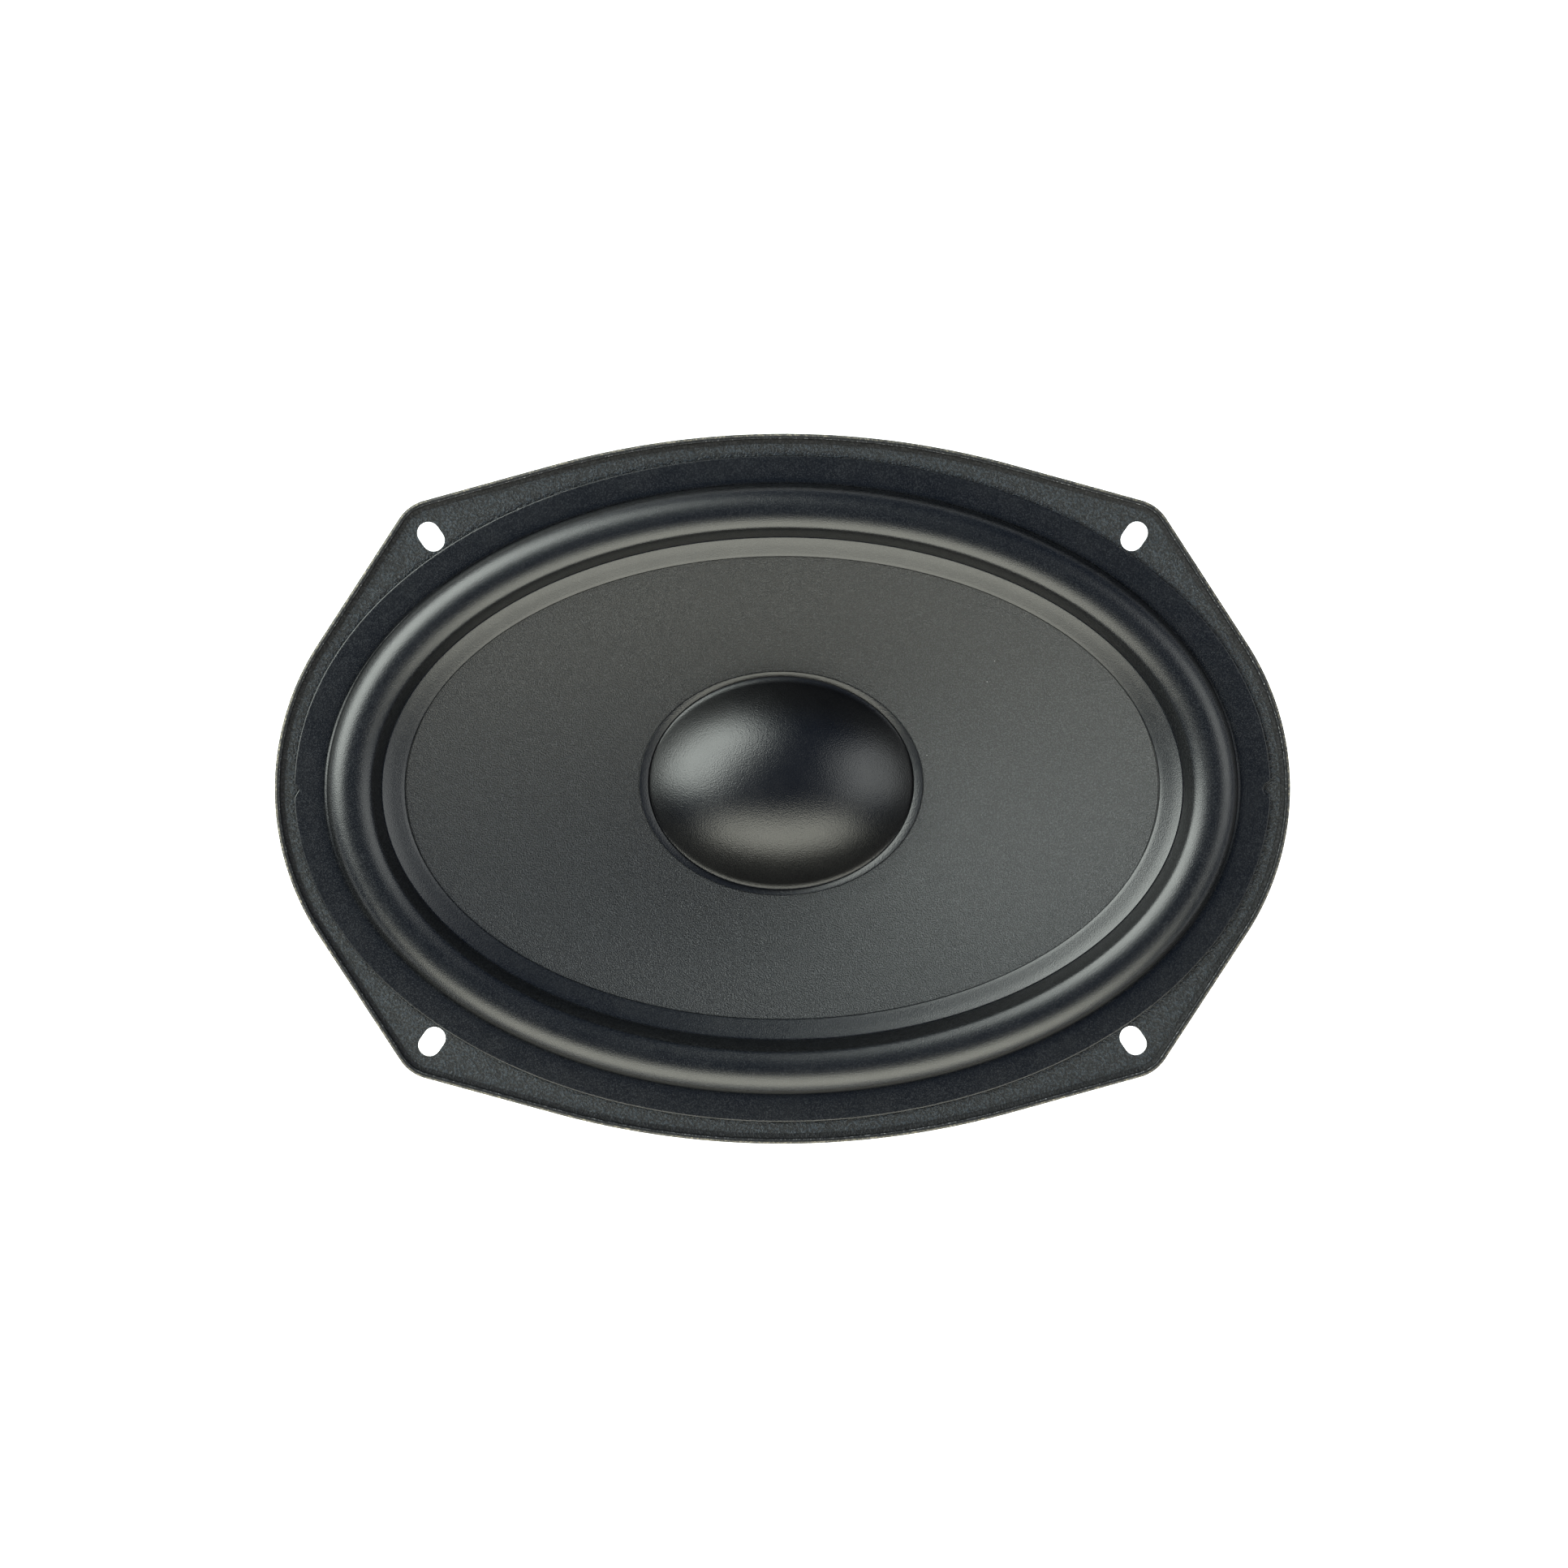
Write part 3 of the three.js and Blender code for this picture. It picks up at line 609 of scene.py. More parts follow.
def corner_centre():
    """The middle of a corner's arc: it lies one corner radius inside both straight sides."""
    side, top = math.radians(SIDE_HALF), math.radians(90 - TOP_HALF)
    side_reach = SIDE_ARC_X * math.cos(side) + SIDE_ARC_R - CORNER_R
    top_reach = TOP_ARC_Y * math.sin(top) + TOP_ARC_R - CORNER_R
    turn = math.sin(top - side)
    x = (side_reach * math.sin(top) - top_reach * math.sin(side)) / turn
    y = (top_reach * math.cos(side) - side_reach * math.cos(top)) / turn
    return x, y


def flange_arcs():
    """Each arc's centre, radius, first and last angle and number of steps, once round the flange."""
    x, y = corner_centre()
    side, top = SIDE_HALF, 90 - TOP_HALF
    arcs = []
    for turn, sign in ((0, 1), (180, -1)):
        arcs.append((sign * SIDE_ARC_X, 0, SIDE_ARC_R, turn - side, turn + side, 60))
        arcs.append((sign * x, sign * y, CORNER_R, turn + side, turn + top, 16))
        arcs.append((0, sign * TOP_ARC_Y, TOP_ARC_R, turn + top, turn + 180 - top, 70))
        arcs.append((-sign * x, sign * y, CORNER_R, turn + 180 - top, turn + 180 - side, 16))
    return arcs


def flange_outline(inset):
    """The outline moved inwards by inset, always with the same number of points."""
    points = []
    straight_steps = 14
    for x, y, r, first, last, steps in flange_arcs():
        angles = np.radians(np.linspace(first, last, steps + 1))
        arc = np.stack([x + (r - inset) * np.cos(angles), y + (r - inset) * np.sin(angles)], -1)
        if points:
            points.extend(np.linspace(points[-1], arc[0], straight_steps + 1)[1:-1])
        points.extend(arc)
    points.extend(np.linspace(points[-1], points[0], straight_steps + 1)[1:-1])
    return np.array(points)


SLOPE_LOW = (57.5, 57.5, SHELF_BACK)
SLOPE_HIGH = (100.5, 66.0, 66.5)
WALL_TOP = (105.2, 70.5)


def bowl_rows(angles):
    """Rear surface of floor, well, shelf, slope and wall, with a bead down each leg; and its normals."""
    corners = [(21, 21, FLOOR_BACK), (44, 44, FLOOR_BACK), (46.5, 46.5, SHELF_BACK), SLOPE_LOW, SLOPE_HIGH]
    corners.append((*WALL_TOP, FLANGE_BACK - BEND))
    path = rounded(corners, [0, 2.2, 1.8, 2.5, 5, 0], 6)
    stations = []
    for start, end in zip(path, path[1:]):
        count = max(1, int(np.linalg.norm(end - start) / 1.8))
        stations.extend(start + (end - start) * i / count for i in range(count))
    stations = np.array(stations + [path[-1]])
    slope = (stations[:, 2] - SLOPE_LOW[2]) / (SLOPE_HIGH[2] - SLOPE_LOW[2])
    reach = smooth_step(slope, 0.02, 0.14) * (1 - smooth_step(slope, 0.86, 0.98))
    reach[stations[:, 0] < SLOPE_LOW[0]] = 0
    beads = np.zeros((len(stations), len(angles)))
    for leg in LEGS:
        away = np.abs((np.degrees(angles) - leg + 180) % 360 - 180)
        half = BEAD_HALF if leg % 180 != 90 else BEAD_HALF_ON_SHORT_AXIS
        beads += reach[:, None] * (1 - smooth_step(away, half - BEAD_FLANK, half))[None, :]
    return skin_points(angles, stations, lift=-BEAD_DEPTH * beads)


def drawn_sheet():
    """The whole basket as one sheet: its bowl, the bend into the flange, and the flange's rim turned up."""
    outline = flange_outline(0)
    angles = np.arctan2(outline[:, 1] / BASKET_HOLE[1], outline[:, 0] / BASKET_HOLE[0])
    rear, normals = bowl_rows(angles)
    front = rear - normals * SHEET
    lip_top = FLANGE_FRONT + LIP_HEIGHT
    quarter = np.linspace(0, math.pi / 2, 7)

    def oval_row(grow, z):
        a, b = WALL_TOP[0] + grow, WALL_TOP[1] + grow
        return np.column_stack([a * np.cos(angles), b * np.sin(angles), np.full(len(angles), z)])

    def outline_row(inset, z):
        return np.column_stack([flange_outline(inset), np.full(len(angles), z)])

    rear_bend = []
    for t in quarter[1:]:
        rear_bend.append(oval_row(BEND * (1 - math.cos(t)), FLANGE_BACK - BEND * (1 - math.sin(t))))
    front_bend = []
    for t in quarter:
        out = -SHEET + (BEND + SHEET) * (1 - math.cos(t))
        front_bend.append(oval_row(out, FLANGE_BACK - BEND + (BEND + SHEET) * math.sin(t)))
    outer_bend = BEND + LIP_THICK * 0.55
    rim = []
    for t in quarter:
        rim.append(outline_row(outer_bend * (1 - math.sin(t)), FLANGE_BACK + outer_bend * (1 - math.cos(t))))
    lip_foot = FLANGE_FRONT + LIP_FOOT[1]
    lip_corners = [(0, lip_top - 0.9), (0, lip_top - 0.3), (0.45, lip_top)]
    lip_corners += [(LIP_THICK, lip_top), (LIP_THICK, lip_foot)]
    lip = rounded(lip_corners, [0, 0.15, 0.12, 0.25, 0], 3)
    rim += [outline_row(inset, z) for inset, z in lip]
    for t in quarter[1:]:
        inset = LIP_THICK + LIP_FOOT[0] * (1 - math.cos(t))
        rim.append(outline_row(inset, lip_foot - LIP_FOOT[1] * math.sin(t)))
    rows = [*rear, *rear_bend, *rim, *front_bend[::-1], *front[::-1]]
    return np.concatenate(rows), grid_faces(len(rows), len(angles))


def rounded_rectangle(half_x, y_low, y_high, r, steps=8, along=24):
    """Points of a rounded rectangle, with extra ones along its two sides that run in x."""
    points = []
    centres = [(half_x - r, y_low + r, -90), (half_x - r, y_high - r, 0), (r - half_x, y_high - r, 90)]
    centres.append((r - half_x, y_low + r, 180))
    for number, (x, y, start) in enumerate(centres):
        for angle in np.radians(np.linspace(start, start + 90, steps + 1)):
            points.append((x + r * math.cos(angle), y + r * math.sin(angle)))
        if number in (1, 3):
            end = (-points[-1][0], points[-1][1])
            points.extend(np.linspace(points[-1], end, along + 1)[1:-1])
    return points


def window_cutter(middle, half):
    """A rounded rectangle bent round the slope, thick enough to pass through it."""
    around, up, depth = 75.0, 45.0, 5.0
    outline = rounded_rectangle(around * math.radians(half), WINDOW_LOW * up, WINDOW_HIGH * up, 4.0)
    layers = []
    for offset in (-depth, depth):
        for x, y in outline:
            angle = math.radians(middle) + x / around
            a, b, z = np.asarray(SLOPE_LOW) * (1 - y / up) + np.asarray(SLOPE_HIGH) * y / up
            outwards = unit(np.array((math.cos(angle), math.sin(angle), -1.0)))
            layers.append(np.array((a * math.cos(angle), b * math.sin(angle), z)) + outwards * offset)
    return wall_and_caps(layers, len(outline))


def wall_and_caps(points, count):
    """A solid from two matching loops of points, its caps made of strips across the loop."""
    faces = grid_faces(2, count, close_rows=False)
    cap = strips(count)
    faces.extend(tuple(reversed(face)) for face in cap)
    faces.extend(tuple(count + i for i in face) for face in cap)
    return points, faces


def strips(count):
    """Triangles that fill a loop by pairing points from its two ends, so that a bent loop stays bent."""
    faces = []
    first, last = 0, count - 1
    turn = True
    while last - first >= 2:
        if turn:
            faces.append((first, first + 1, last))
            first += 1
        else:
            faces.append((first, last - 1, last))
            last -= 1
        turn = not turn
    return faces


def stadium(length, width, steps=12):
    """A slot with round ends along X."""
    reach, r = (length - width) / 2, width / 2
    turns = np.linspace(-math.pi / 2, math.pi / 2, steps)
    right = [(reach + r * math.cos(t), r * math.sin(t)) for t in turns]
    return right + [(-x, -y) for x, y in right]


def placed(part, matrix):
    vertices, faces = part
    return [tuple(matrix @ Vector(v)) for v in vertices], faces


def basket():
    """Flange and bowl joined, with the lug, and its slots, windows and holes cut."""
    obj = make_object("basket_shell", *drawn_sheet(), "powder_coat", body=None)
    lug_start, lug_end, lug_half = 53, 74, 15
    lug_corners = [(lug_start, -lug_half), (lug_end, -lug_half), (lug_end, lug_half), (lug_start, lug_half)]
    lug = extruded(rounded(lug_corners, [0, 2.5, 2.5, 0], 6, closed=True), SHELF_BACK, SHELF_FRONT)
    cutters = [window_cutter(*window) for window in WINDOWS]
    for sx, sy in ((1, 1), (-1, 1), (-1, -1), (1, -1)):
        turn = Matrix.Rotation(math.radians(sx * sy * SLOT_ANGLE), 4, "Z")
        place = Matrix.Translation((sx * SLOT_X, sy * SLOT_Y, 0)) @ turn
        slot = extruded(stadium(SLOT_LENGTH, SLOT_WIDTH), FLANGE_BACK - 2, FLANGE_FRONT + 2)
        cutters.append(placed(slot, place))
    vents, vent_z, vent_length, vent_width = 8, 36.5, 13, 5
    vent = extruded(stadium(vent_length, vent_width), -56, -38)
    for i in range(vents):
        around = Matrix.Rotation(2 * math.pi * (i + 0.5) / vents, 4, "Z")
        upright = Matrix.Rotation(math.pi / 2, 4, "X")
        cutters.append(placed(vent, Matrix.Translation((0, 0, vent_z)) @ around @ upright))
    apply_boolean(obj, cutters, "DIFFERENCE")
    apply_boolean(obj, [lug], "UNION")
    finish_lip(obj.data)
    shade(obj.data, 28)
    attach(obj, FRAME_BODY)
    finished(obj, "powder_coat", "basket")


def finish_lip(mesh):
    """Gives the lip's outer edge and inner edge their own finishes, which carry painted glow and painted
    highlight besides worn spots, and gives the fold at its foot painted shade.
    """
    coat, outer_edge, inner_edge, fold = range(4)
    mesh.materials.clear()
    for name in ("powder_coat", "worn_edge_and_glow", "scuffs_and_highlight", "fold_painted_shade"):
        mesh.materials.append(MATERIALS[name])
    edge_start = (FLANGE_FRONT + LIP_HEIGHT - 0.45) * MM
    fold_start = (FLANGE_FRONT + 0.04) * MM
    for polygon in mesh.polygons:
        centre, normal = polygon.center, polygon.normal
        outside = normal.x * centre.x + normal.y * centre.y > 0
        polygon.material_index = coat
        # The lip's top edges: a painted glow on the outer one and a painted highlight on the inner one, mixed
        # with worn spots.
        if centre.z > edge_start and normal.z < 0.97:
            polygon.material_index = outer_edge if outside else inner_edge
        # Painted shade: faces above the flange that do not face outwards, in the fold at the lip's foot, get
        # the blacker finish.
        elif centre.z > fold_start and not outside:
            polygon.material_index = fold


def rear_gasket():
    (outer_a, outer_b), (inner_a, inner_b) = (111.0, 75.2), (106.2, 71.5)
    bottom, top = heights("rear_gasket")
    corners = [(inner_a, bottom, inner_b), (outer_a, bottom, outer_b)]
    corners += [(outer_a, top, outer_b), (inner_a, top, inner_b)]
    profile = rounded(corners, [0.5, 0.5, 0, 0], 4, closed=True)
    obj = make_object("rear_gasket_foam", *turned(profile, OVAL_STEPS), "gasket_foam")
    finished(obj, "gasket_foam", "rear_gasket")


# ---------- cone, surround, dust cap, spider ----------


def along_cone(a):
    """The cone's front station where its long half axis is a."""
    t = (a - CONE_NECK[0]) / (CONE_EDGE[0] - CONE_NECK[0])
    return np.asarray(CONE_NECK) * (1 - t) + np.asarray(CONE_EDGE) * t


def cone():
    """The paper cone, with a narrow pressed groove just inside the rubber's edge."""
    groove, ledge, depth = CONE_SEEN_EDGE[0] - 0.12, 0.14, 0.14
    stations = [along_cone(a) for a in np.linspace(CONE_EDGE[0], groove + 2 * ledge, 6)]
    for step, down in ((ledge, 0), (ledge / 2, depth), (-ledge / 2, depth), (-ledge, 0)):
        stations.append(along_cone(groove + step) - np.array((0, 0, down)))
    stations += [along_cone(a) for a in np.linspace(groove - 2 * ledge, CONE_NECK[0], 30)]
    paper = skin(even_angles(OVAL_STEPS), stations, CONE_THICK)
    obj = make_object("cone_paper", *paper, "cone_pulp", body=MOVING_BODY)
    finished(obj, "cone_pulp", "cone")


def notched_angles():
    """Even angles with finer ones at both ends of the long axis, where the rubber's edge is notched."""
    fine = np.radians(np.arange(-3, 3, 0.25))
    angles = np.concatenate([even_angles(OVAL_STEPS), fine % (2 * math.pi), fine + math.pi])
    return np.unique(np.round(angles, 6))


# Insets from the rubber's edge, and how far its face is down there: first its rounded edge, then its sag over
# the basket's bend, at the roll's foot.
EDGE_ROWS = ((0, 0.14), (0.06, 0.05), (0.16, 0), (0.4, 0))
SAG_ROWS = ((4.2, 0), (5.0, 0.03), (5.7, 0.1), (6.3, 0.2), (6.8, 0.31), (7.02, 0.37), (7.12, 0.27))


def notch(points):
    """Pulls the rubber's outer edge in at a V on the -X side and at a round bite on the +X side."""
    vee_depth, vee_half, bite_r = 1.1, 1.8, 1.7
    rows = points[: len(EDGE_ROWS)]
    y = rows[:, :, 1]
    vee = vee_depth * np.clip(1 - np.abs(y) / vee_half, 0, 1) * (rows[:, :, 0] < 0)
    bite = np.sqrt(np.clip(bite_r**2 - y**2, 0, None)) * (rows[:, :, 0] > 0)
    rows[:, :, 0] += vee - bite
    return points


def surround():
    """Outer flange on the basket, half roll, and inner flange on the cone.

    The roll leans in a little more at the ends of the long axis. Its inner foot has a fine ridge.
    """
    front = FLANGE_FRONT + GAP + RUBBER_THICK
    above = 0.5
    ridge = 0.09
    outer = np.array((*ROLL_OUTER, front))
    inner = np.array((*ROLL_INNER, along_cone(ROLL_INNER[0])[2] + above))
    edge = np.array((*CONE_SEEN_EDGE, along_cone(CONE_SEEN_EDGE[0])[2] + above))
    stations = []
    thick = []
    for inset, down in (*EDGE_ROWS, (2.6, 0), *SAG_ROWS):
        stations.append(np.array((RUBBER_EDGE[0] - inset, RUBBER_EDGE[1] - inset, front - down)))
        thick.append(RUBBER_THICK - down)
    roll_start = len(stations)
    across = (1 - np.cos(np.linspace(0, math.pi, 49))) / 2
    wall = smooth_step(across, ROLL_WALL_START, 1)
    rise = ROLL_HEIGHT * 2 * np.sqrt(across * (1 - across))
    drop = outer[2] - inner[2]
    for t, down, up in zip(across, wall, rise):
        station = outer + (inner - outer) * t
        station[2] = outer[2] - drop * down + up
        stations.append(station)
    roll_end = len(stations)
    thick += [RUBBER_THICK] * len(across)
    inner_flange = [(0.04, -ridge), (0.09, 0), (0.5, 0), (0.8, 0), (0.94, 0)]
    inner_flange += [(0.97, 0.06), (0.988, 0.17), (1, 0.34)]
    for t, down in inner_flange:
        stations.append(inner + (edge - inner) * t - np.array((0, 0, down)))
        thick.append(RUBBER_THICK / 2 - down * 0.6)
    angles = notched_angles()

    def shaped(points):
        """Makes the lean differ round the roll, and notches the edge."""
        lean = LEAN_AT_TOP + (LEAN_AT_SIDES - LEAN_AT_TOP) * np.cos(angles) ** 2
        points[roll_start:roll_end, :, 2] -= drop * (across - wall)[:, None] * lean[None, :]
        return notch(points)

    roll = skin(angles, stations, thick, edge=shaped)
    obj = make_object("surround_rubber_roll", *roll, "surround_rubber", body=None)

    def weight(points):
        """How far across the roll each point is, from its outer foot."""
        angle = np.arctan2(points[:, 1] / ROLL_OUTER[1], points[:, 0] / ROLL_OUTER[0])
        cos, sin = np.cos(angle), np.sin(angle)
        reach = np.hypot(points[:, 0], points[:, 1])
        outermost, innermost = (np.hypot(a * cos, b * sin) for a, b in (ROLL_OUTER, ROLL_INNER))
        return (outermost - reach) / (outermost - innermost)

    blend_by(obj, weight)
    finished(obj, "surround_rubber", "surround")


def dust_cap():
    """A shallow dome on a narrow ring that lies on the cone, with a crease between the two."""
    squeeze = CAP_FOOT[1] / CAP_FOOT[0]
    foot = along_cone(CAP_FOOT[0])[2] + 0.5
    sphere_r = (CAP_FOOT[0] ** 2 + CAP_HEIGHT**2) / (2 * CAP_HEIGHT)
    sphere_z = foot + CAP_HEIGHT - sphere_r
    turns = np.linspace(math.asin(CAP_FOOT[0] / sphere_r), 0, 48)

    def dome(r, t):
        return r * math.sin(t), sphere_z + r * math.cos(t), squeeze * r * math.sin(t)

    def over_cone(a, rise):
        station = along_cone(a)
        return station[0], station[2] + rise, station[1]

    ring = [over_cone(CAP_SKIRT, 0.06), over_cone(CAP_SKIRT, 0.3), over_cone(CAP_FOOT[0] + 0.45, 0.4)]
    crease = [over_cone(CAP_FOOT[0] + 0.2, 0.12), dome(sphere_r, turns[0])]
    edge = rounded([over_cone(CAP_FOOT[0] - 0.4, 0.15), *ring, *crease], [0, 0.05, 0.12, 0.1, 0.05, 0], 3)
    inside = [dome(sphere_r - 0.6, t) for t in turns[::-1]]
    outside = [dome(sphere_r, t) for t in turns[1:]]
    cap = turned([*inside, *edge, *outside], 320)
    obj = make_object("dust_cap_dome", *cap, "cap_gloss", sharp=50, body=MOVING_BODY)
    finished(obj, "cap_gloss", "dust_cap")


def spider():
    """A corrugated cloth disc between the shelf and the coil's collar."""
    wave, wave_in, wave_out, waves, thick = 1.4, 21.0, 45.5, 4, 0.5
    bend_in, bend_out = 20, 47
    flat = SHELF_FRONT + GAP + thick
    stations = [(55, 55, flat), (52, 52, flat), (48.5, 48.5, flat)]
    for t in np.linspace(0, 1, 24 * waves + 1):
        r = wave_out + (wave_in - wave_out) * t
        stations.append((r, r, flat + wave * math.sin(2 * math.pi * waves * t)))
    stations += [(20, 20, flat), (18.15, 18.15, flat)]
    disc = skin(even_angles(ROUND_STEPS), stations, thick)
    obj = make_object("spider_disc", *disc, "spider_cloth", sharp=60, body=None)
    blend_by(obj, lambda points: (bend_out - np.hypot(points[:, 0], points[:, 1])) / (bend_out - bend_in))
    finished(obj, "spider_cloth", "spider")


# ---------- motor ----------


def turned_piece(name, node, corners, slot, radius, body=FRAME_BODY, at=(0, 0), steps=ROUND_STEPS):
    """A turned piece that replaces a CAD node: corners are (radius, z), its edges rounded by `radius`."""
    on_axis = corners[0][0] == 0
    profile = rounded(corners, radius, 4, closed=not on_axis)
    obj = make_object(name, *turned(profile, steps, at=at), slot, sharp=40, body=body)
    finished(obj, slot, node)


def plate_corners(node, inner):
    """The section of a ring that fills its CAD node's box."""
    bottom, top = heights(node)
    outer = high(node).x
    return [(inner, bottom), (outer, bottom), (outer, top), (inner, top)]


def motor():
    """The plates, magnet and pole, and the coil's tube and collar, each with its bore and edge radius."""
    rings = (
        ("back_plate_steel", "back_plate", 7.5, "zinc_steel", 1.0, FRAME_BODY),
        ("magnet_ferrite", "magnet_ring", 23, "ferrite", 0.9, FRAME_BODY),
        ("top_plate_steel", "top_plate", 19.1, "zinc_steel", 0.7, FRAME_BODY),
        ("pole_steel", "pole_piece", 7.5, "zinc_steel", 0.6, FRAME_BODY),
        ("former_tube", "voice_coil_former", 17.35, "former_film", 0.05, MOVING_BODY),
        ("collar_wrap", "former_collar", 17.7, "kraft_paper", 0.05, MOVING_BODY),
    )
    for name, node, bore, slot, radius, body in rings:
        turned_piece(name, node, plate_corners(node, bore), slot, radius, body)
    winding()


def winding():
    """The winding's outside is drawn as its separate turns."""
    bottom, top = heights("voice_coil_winding")
    turns = 28
    pitch = (top - bottom) / turns
    inner, between, bulge = 17.7, 18.25, 0.25
    profile = [(inner, bottom)]
    for i in range(turns):
        for t in (0.1, 0.3, 0.5, 0.7, 0.9):
            profile.append((between + bulge * math.sin(math.pi * t), bottom + (i + t) * pitch))
    profile.append((inner, top))
    obj = make_object("coil_turns", *turned(profile, 96), "copper_wire", sharp=60, body=MOVING_BODY)
    finished(obj, "copper_wire", "voice_coil_winding")


def middle(node):
    return (low(node) + high(node)) / 2


def fastener(name, node, slot, corners, radius):
    """A rivet or an eyelet where its CAD node is."""
    turned_piece(name, node, corners, slot, radius, at=middle(node), steps=40)


def rivets():
    """Domed rivets on the basket's floor and flat ones through the board, and the tabs' eyelets."""
    for i in range(1, 5):
        node = f"plate_rivet_{i}"
        bottom, top = heights(node)
        seat = FLOOR_BACK + SHEET + GAP
        corners = [(0, bottom), (1.9, bottom), (1.9, seat), (3.4, seat), (3.2, seat + 1)]
        corners += [(1.8, top), (0, top)]
        fastener(f"plate_rivet_head_{i}", node, "rivet_steel", corners, [0, 0.2, 0, 0.2, 0.6, 0.8, 0])
    for i in (1, 2):
        node = f"board_rivet_{i}"
        bottom, top = heights(node)
        under, over = bottom + 0.8, top - 0.8
        corners = [(0, bottom), (1.85, bottom), (2.3, under), (1.3, under), (1.3, over), (2.3, over)]
        corners += [(1.6, top), (0, top)]
        fastener(f"board_rivet_head_{i}", node, "rivet_steel", corners, [0, 0.3, 0.1, 0, 0, 0.2, 0.5, 0])
    for pole in ("positive", "negative"):
        node = f"tab_eyelet_{pole}"
        bottom, top = heights(node)
        under, over = bottom + 0.5, top - 0.5
        corners = [(0.7, bottom), (2.2, bottom), (2.2, under), (1.25, under), (1.25, over), (2.2, over)]
        corners += [(1.9, top), (0.7, top)]
        fastener(f"eyelet_ring_{pole}", node, "tinned_brass", corners, 0.15)


def refined(name, node, slot, bevel):
    """A copy of a CAD node with its flat faces merged and its edges rounded, which replaces the node."""
    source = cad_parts[node]
    mesh = source.data.copy()
    mesh.materials.clear()
    mesh.materials.append(MATERIALS[slot])
    obj = added(name, mesh)
    weld = obj.modifiers.new("weld", "WELD")
    weld.merge_threshold = 0.01 * MM
    flat = obj.modifiers.new("flat", "DECIMATE")
    flat.decimate_type = "DISSOLVE"
    flat.angle_limit = math.radians(1)
    edges = obj.modifiers.new("edges", "BEVEL")
    edges.width = bevel * MM
    edges.segments = 3
    edges.limit_method = "ANGLE"
    edges.angle_limit = math.radians(50)
    replace_by_result(obj)
    shade(obj.data, 40)
    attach(obj, FRAME_BODY)
    finished(obj, slot, node)


def terminals():
    """The board and its two tabs, and the screen in the pole's vent."""
    refined("terminal_board_sheet", "terminal_board", "phenolic_board", 0.15)
    for pole in ("positive", "negative"):
        refined(f"terminal_blade_{pole}", f"terminal_tab_{pole}", "tinned_brass", 0.12)
    refined("vent_screen_disc", "vent_screen", "zinc_steel", 0.08)


# Where the leads run, in the plane of their tab: from the coil's collar, over the spider, down on the tab.
# None stands for the collar's side and for the tab's face.
LEAD_R = 0.6
LEAD_START_Z = 46.7
LEAD_ROUTE = [(None, LEAD_START_Z), (22.5, 48.3), (32, 50.6), (44, 51.2), (55, 49.7), (64, 47.6)]
LEAD_ROUTE += [(70.5, None), (76, None)]
# The leads' bend weights run between these distances from the axis; they are worked out but not applied.
LEAD_BEND_IN, LEAD_BEND_OUT = 20, 68


def tinsel_leads():
    """Three strands twisted together, with a blob of solder on the tab and one of glue on the collar."""
    for pole, side in (("positive", 1), ("negative", -1)):
        y = side * middle("tab_eyelet_positive").y
        start = math.sqrt((high("former_collar").x + LEAD_R + 0.3) ** 2 - y**2)
        end = TAB_FRONT + LEAD_R + GAP
        route = [(start if x is None else x, y, end if z is None else z) for x, z in LEAD_ROUTE]
        path = smooth_path(route, 24)
        strands = []
        for angle in np.linspace(0, 2 * math.pi, 24, endpoint=False):
            r = LEAD_R * (0.78 + 0.2 * math.cos(3 * angle))
            strands.append((r * math.cos(angle), r * math.sin(angle)))
        name = f"tinsel_lead_{pole}_strands"
        obj = make_object(name, *tube(path, strands, turns=9), "tinsel_braid", sharp=80, body=None)
        blend_by(obj, lambda points: (LEAD_BEND_OUT - points[:, 0]) / (LEAD_BEND_OUT - LEAD_BEND_IN))
        finished(obj, "tinsel_braid", f"tinsel_lead_{pole}")
        solder = blob((73.6, y, TAB_FRONT + 0.02), (2.3, 1.5, 1.1))
        obj = make_object(f"solder_{pole}", *solder, "tinned_brass", sharp=80)
        finished(obj, "tinned_brass")
        glue = blob((start + 0.1, y, LEAD_START_Z), (1.3, 1.5, 1.1))
        obj = make_object(f"coil_joint_{pole}", *glue, "glue", sharp=80, body=MOVING_BODY)
        finished(obj, "cap_gloss")


def blob(centre, size):
    """A lumpy drop of solder or glue."""
    profile = [(math.sin(t), -math.cos(t)) for t in np.linspace(0, math.pi, 13)]
    profile[0], profile[-1] = (0, -1), (0, 1)
    vertices, faces = turned(profile, 24)
    shaped = []
    for x, y, z in vertices:
        lump = 1 + 0.06 * math.sin(5 * x + 3 * y) + 0.05 * math.cos(4 * z + 2 * y)
        shaped.append(tuple(c + v * s * lump for c, v, s in zip(centre, (x, y, z), size)))
    return shaped, faces


def glue_ring(name, reach, z, radius, body):
    """A thin, slightly uneven bead of glue round the axis."""
    angles = even_angles(OVAL_STEPS // 2)
    wobble = 1 + 0.12 * np.sin(angles * 7 + 1) * np.cos(angles * 3)
    rows = []
    for t in np.linspace(0, 2 * math.pi, 10, endpoint=False):
        out = reach + radius * math.cos(t) * wobble
        up = z + radius * math.sin(t) * wobble
        rows.append(np.stack([out * np.cos(angles), out * np.sin(angles), up], -1))
    faces = grid_faces(len(rows), len(angles))
    obj = make_object(name, np.concatenate(rows), faces, "glue", sharp=80, body=body)
    finished(obj, "cap_gloss")


def glue_lines():
    """Beads where the spider and the cone's neck meet the collar, and round the spider's rim."""
    beside_collar = high("former_collar").x + 0.3
    glue_ring("spider_glue", beside_collar, SHELF_FRONT + 0.9, 0.45, MOVING_BODY)
    glue_ring("neck_glue", beside_collar, CONE_NECK[2] - 0.9, 0.5, MOVING_BODY)
    glue_ring("spider_rim_glue", high("spider").x, SHELF_FRONT + 0.35, 0.4, FRAME_BODY)


# ---------- stage, light and camera ----------


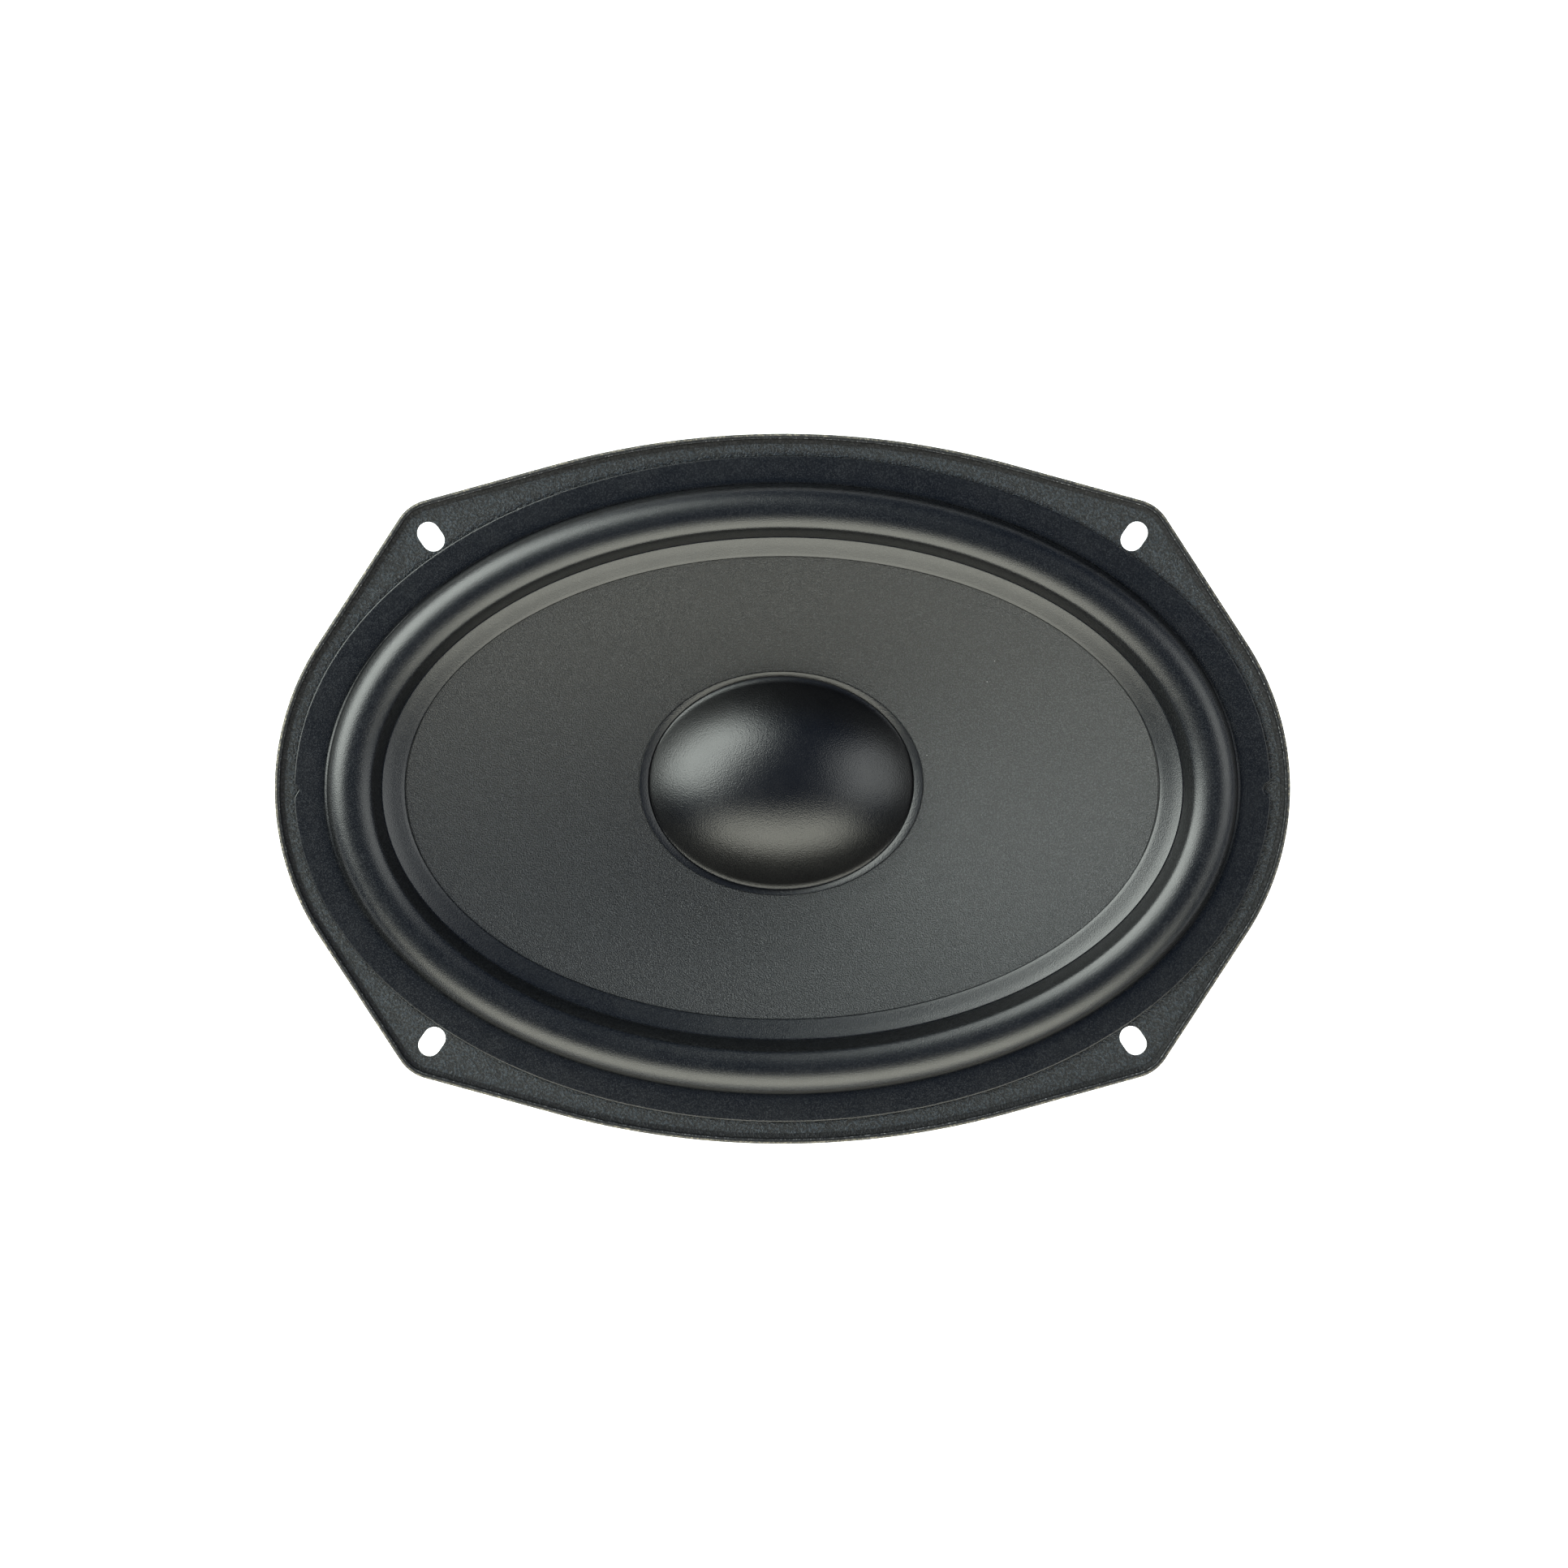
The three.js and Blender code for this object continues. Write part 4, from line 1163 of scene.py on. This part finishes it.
def floor():
    """A wide pale floor with its top at z = 0, which glows a little so that it stays evenly white."""
    half, depth = 4000, 20
    slab = extruded([(-half, -half), (half, -half), (half, half), (-half, half)], -depth, 0)
    f = Finish("studio_floor", Roughness=0.9)
    tone = f.noise(400, 2)
    f.colour(f.ramp(tone, [(0.3, (0.86, 0.86, 0.86)), (0.7, (0.88, 0.88, 0.88))]))
    f.shader.inputs["Emission Color"].default_value = (1, 1, 1, 1)
    f.shader.inputs["Emission Strength"].default_value = 0.75
    obj = make_object("floor", *slab, "studio_floor", body=None)


SOFTBOX_DISTANCE = 1.1


def softbox(name, azimuth, elevation, size, power, colour):
    """A rectangular area light that looks at the woofer."""
    light = bpy.data.lights.new(name, "AREA")
    light.shape = "RECTANGLE"
    light.size, light.size_y = size
    light.energy = power
    light.color = colour
    obj = added(name, light)
    a, e = math.radians(azimuth), math.radians(elevation)
    direction = Vector((math.cos(a) * math.cos(e), math.sin(a) * math.cos(e), math.sin(e)))
    target = Vector((0, 0, FLANGE_FRONT * MM))
    obj.location = target + direction * SOFTBOX_DISTANCE
    obj.rotation_euler = direction.to_track_quat("Z", "Y").to_euler()
    obj.visible_camera = False


def lights():
    """A large cool softbox on the upper left, a warmer one below and a weak one on the right.

    The room is a dim blue, which the camera sees as white.
    """
    softbox("key_upper_left", 148, 32, (1.4, 0.98), 42, (0.94, 1.0, 0.94))
    softbox("fill_below", 271, 33, (1.6, 0.95), 27.5, (1.0, 1.0, 0.86))
    softbox("fill_right", 8, 37, (0.9, 0.7), 6, (0.97, 1.0, 0.96))
    world = bpy.data.worlds.new("studio")
    bpy.context.scene.world = world
    world.use_nodes = True
    nodes, links = world.node_tree.nodes, world.node_tree.links
    ambient = nodes["Background"]
    ambient.inputs["Color"].default_value = (0.18, 0.42, 1.0, 1)
    ambient.inputs["Strength"].default_value = 0.2
    seen = nodes.new("ShaderNodeBackground")
    seen.inputs["Color"].default_value = (0.98, 0.98, 0.98, 1)
    rays = nodes.new("ShaderNodeLightPath")
    mix = nodes.new("ShaderNodeMixShader")
    links.new(rays.outputs["Is Camera Ray"], mix.inputs[0])
    links.new(ambient.outputs[0], mix.inputs[1])
    links.new(seen.outputs[0], mix.inputs[2])
    links.new(mix.outputs[0], nodes["World Output"].inputs["Surface"])
    bpy.context.scene.view_settings.view_transform = "Standard"


def camera():
    """A long lens that looks almost straight down the cone's axis, a little from above and from the left."""
    distance = 2.2
    view_width = 0.3629
    tilt_x, tilt_y = math.radians(-0.96), math.radians(3.28)
    aim = Vector((0.28, 1.22, FLANGE_FRONT)) * MM
    direction = Vector((math.sin(tilt_x), math.sin(tilt_y), math.cos(tilt_x) * math.cos(tilt_y))).normalized()
    data = bpy.data.cameras.new("camera")
    data.sensor_width = 36
    data.lens = data.sensor_width * distance / view_width
    data.clip_end = 20
    obj = added("camera", data)
    forward = -direction
    right = forward.cross(Vector((0, 1, 0))).normalized()
    up = right.cross(forward)
    rotation = Matrix((right, up, -forward)).transposed().to_4x4()
    obj.matrix_world = Matrix.Translation(aim + direction * distance) @ rotation
    bpy.context.scene.camera = obj


camera()
lights()
floor()
basket()
rear_gasket()
surround()
cone()
dust_cap()
spider()
motor()
rivets()
terminals()
tinsel_leads()
glue_lines()
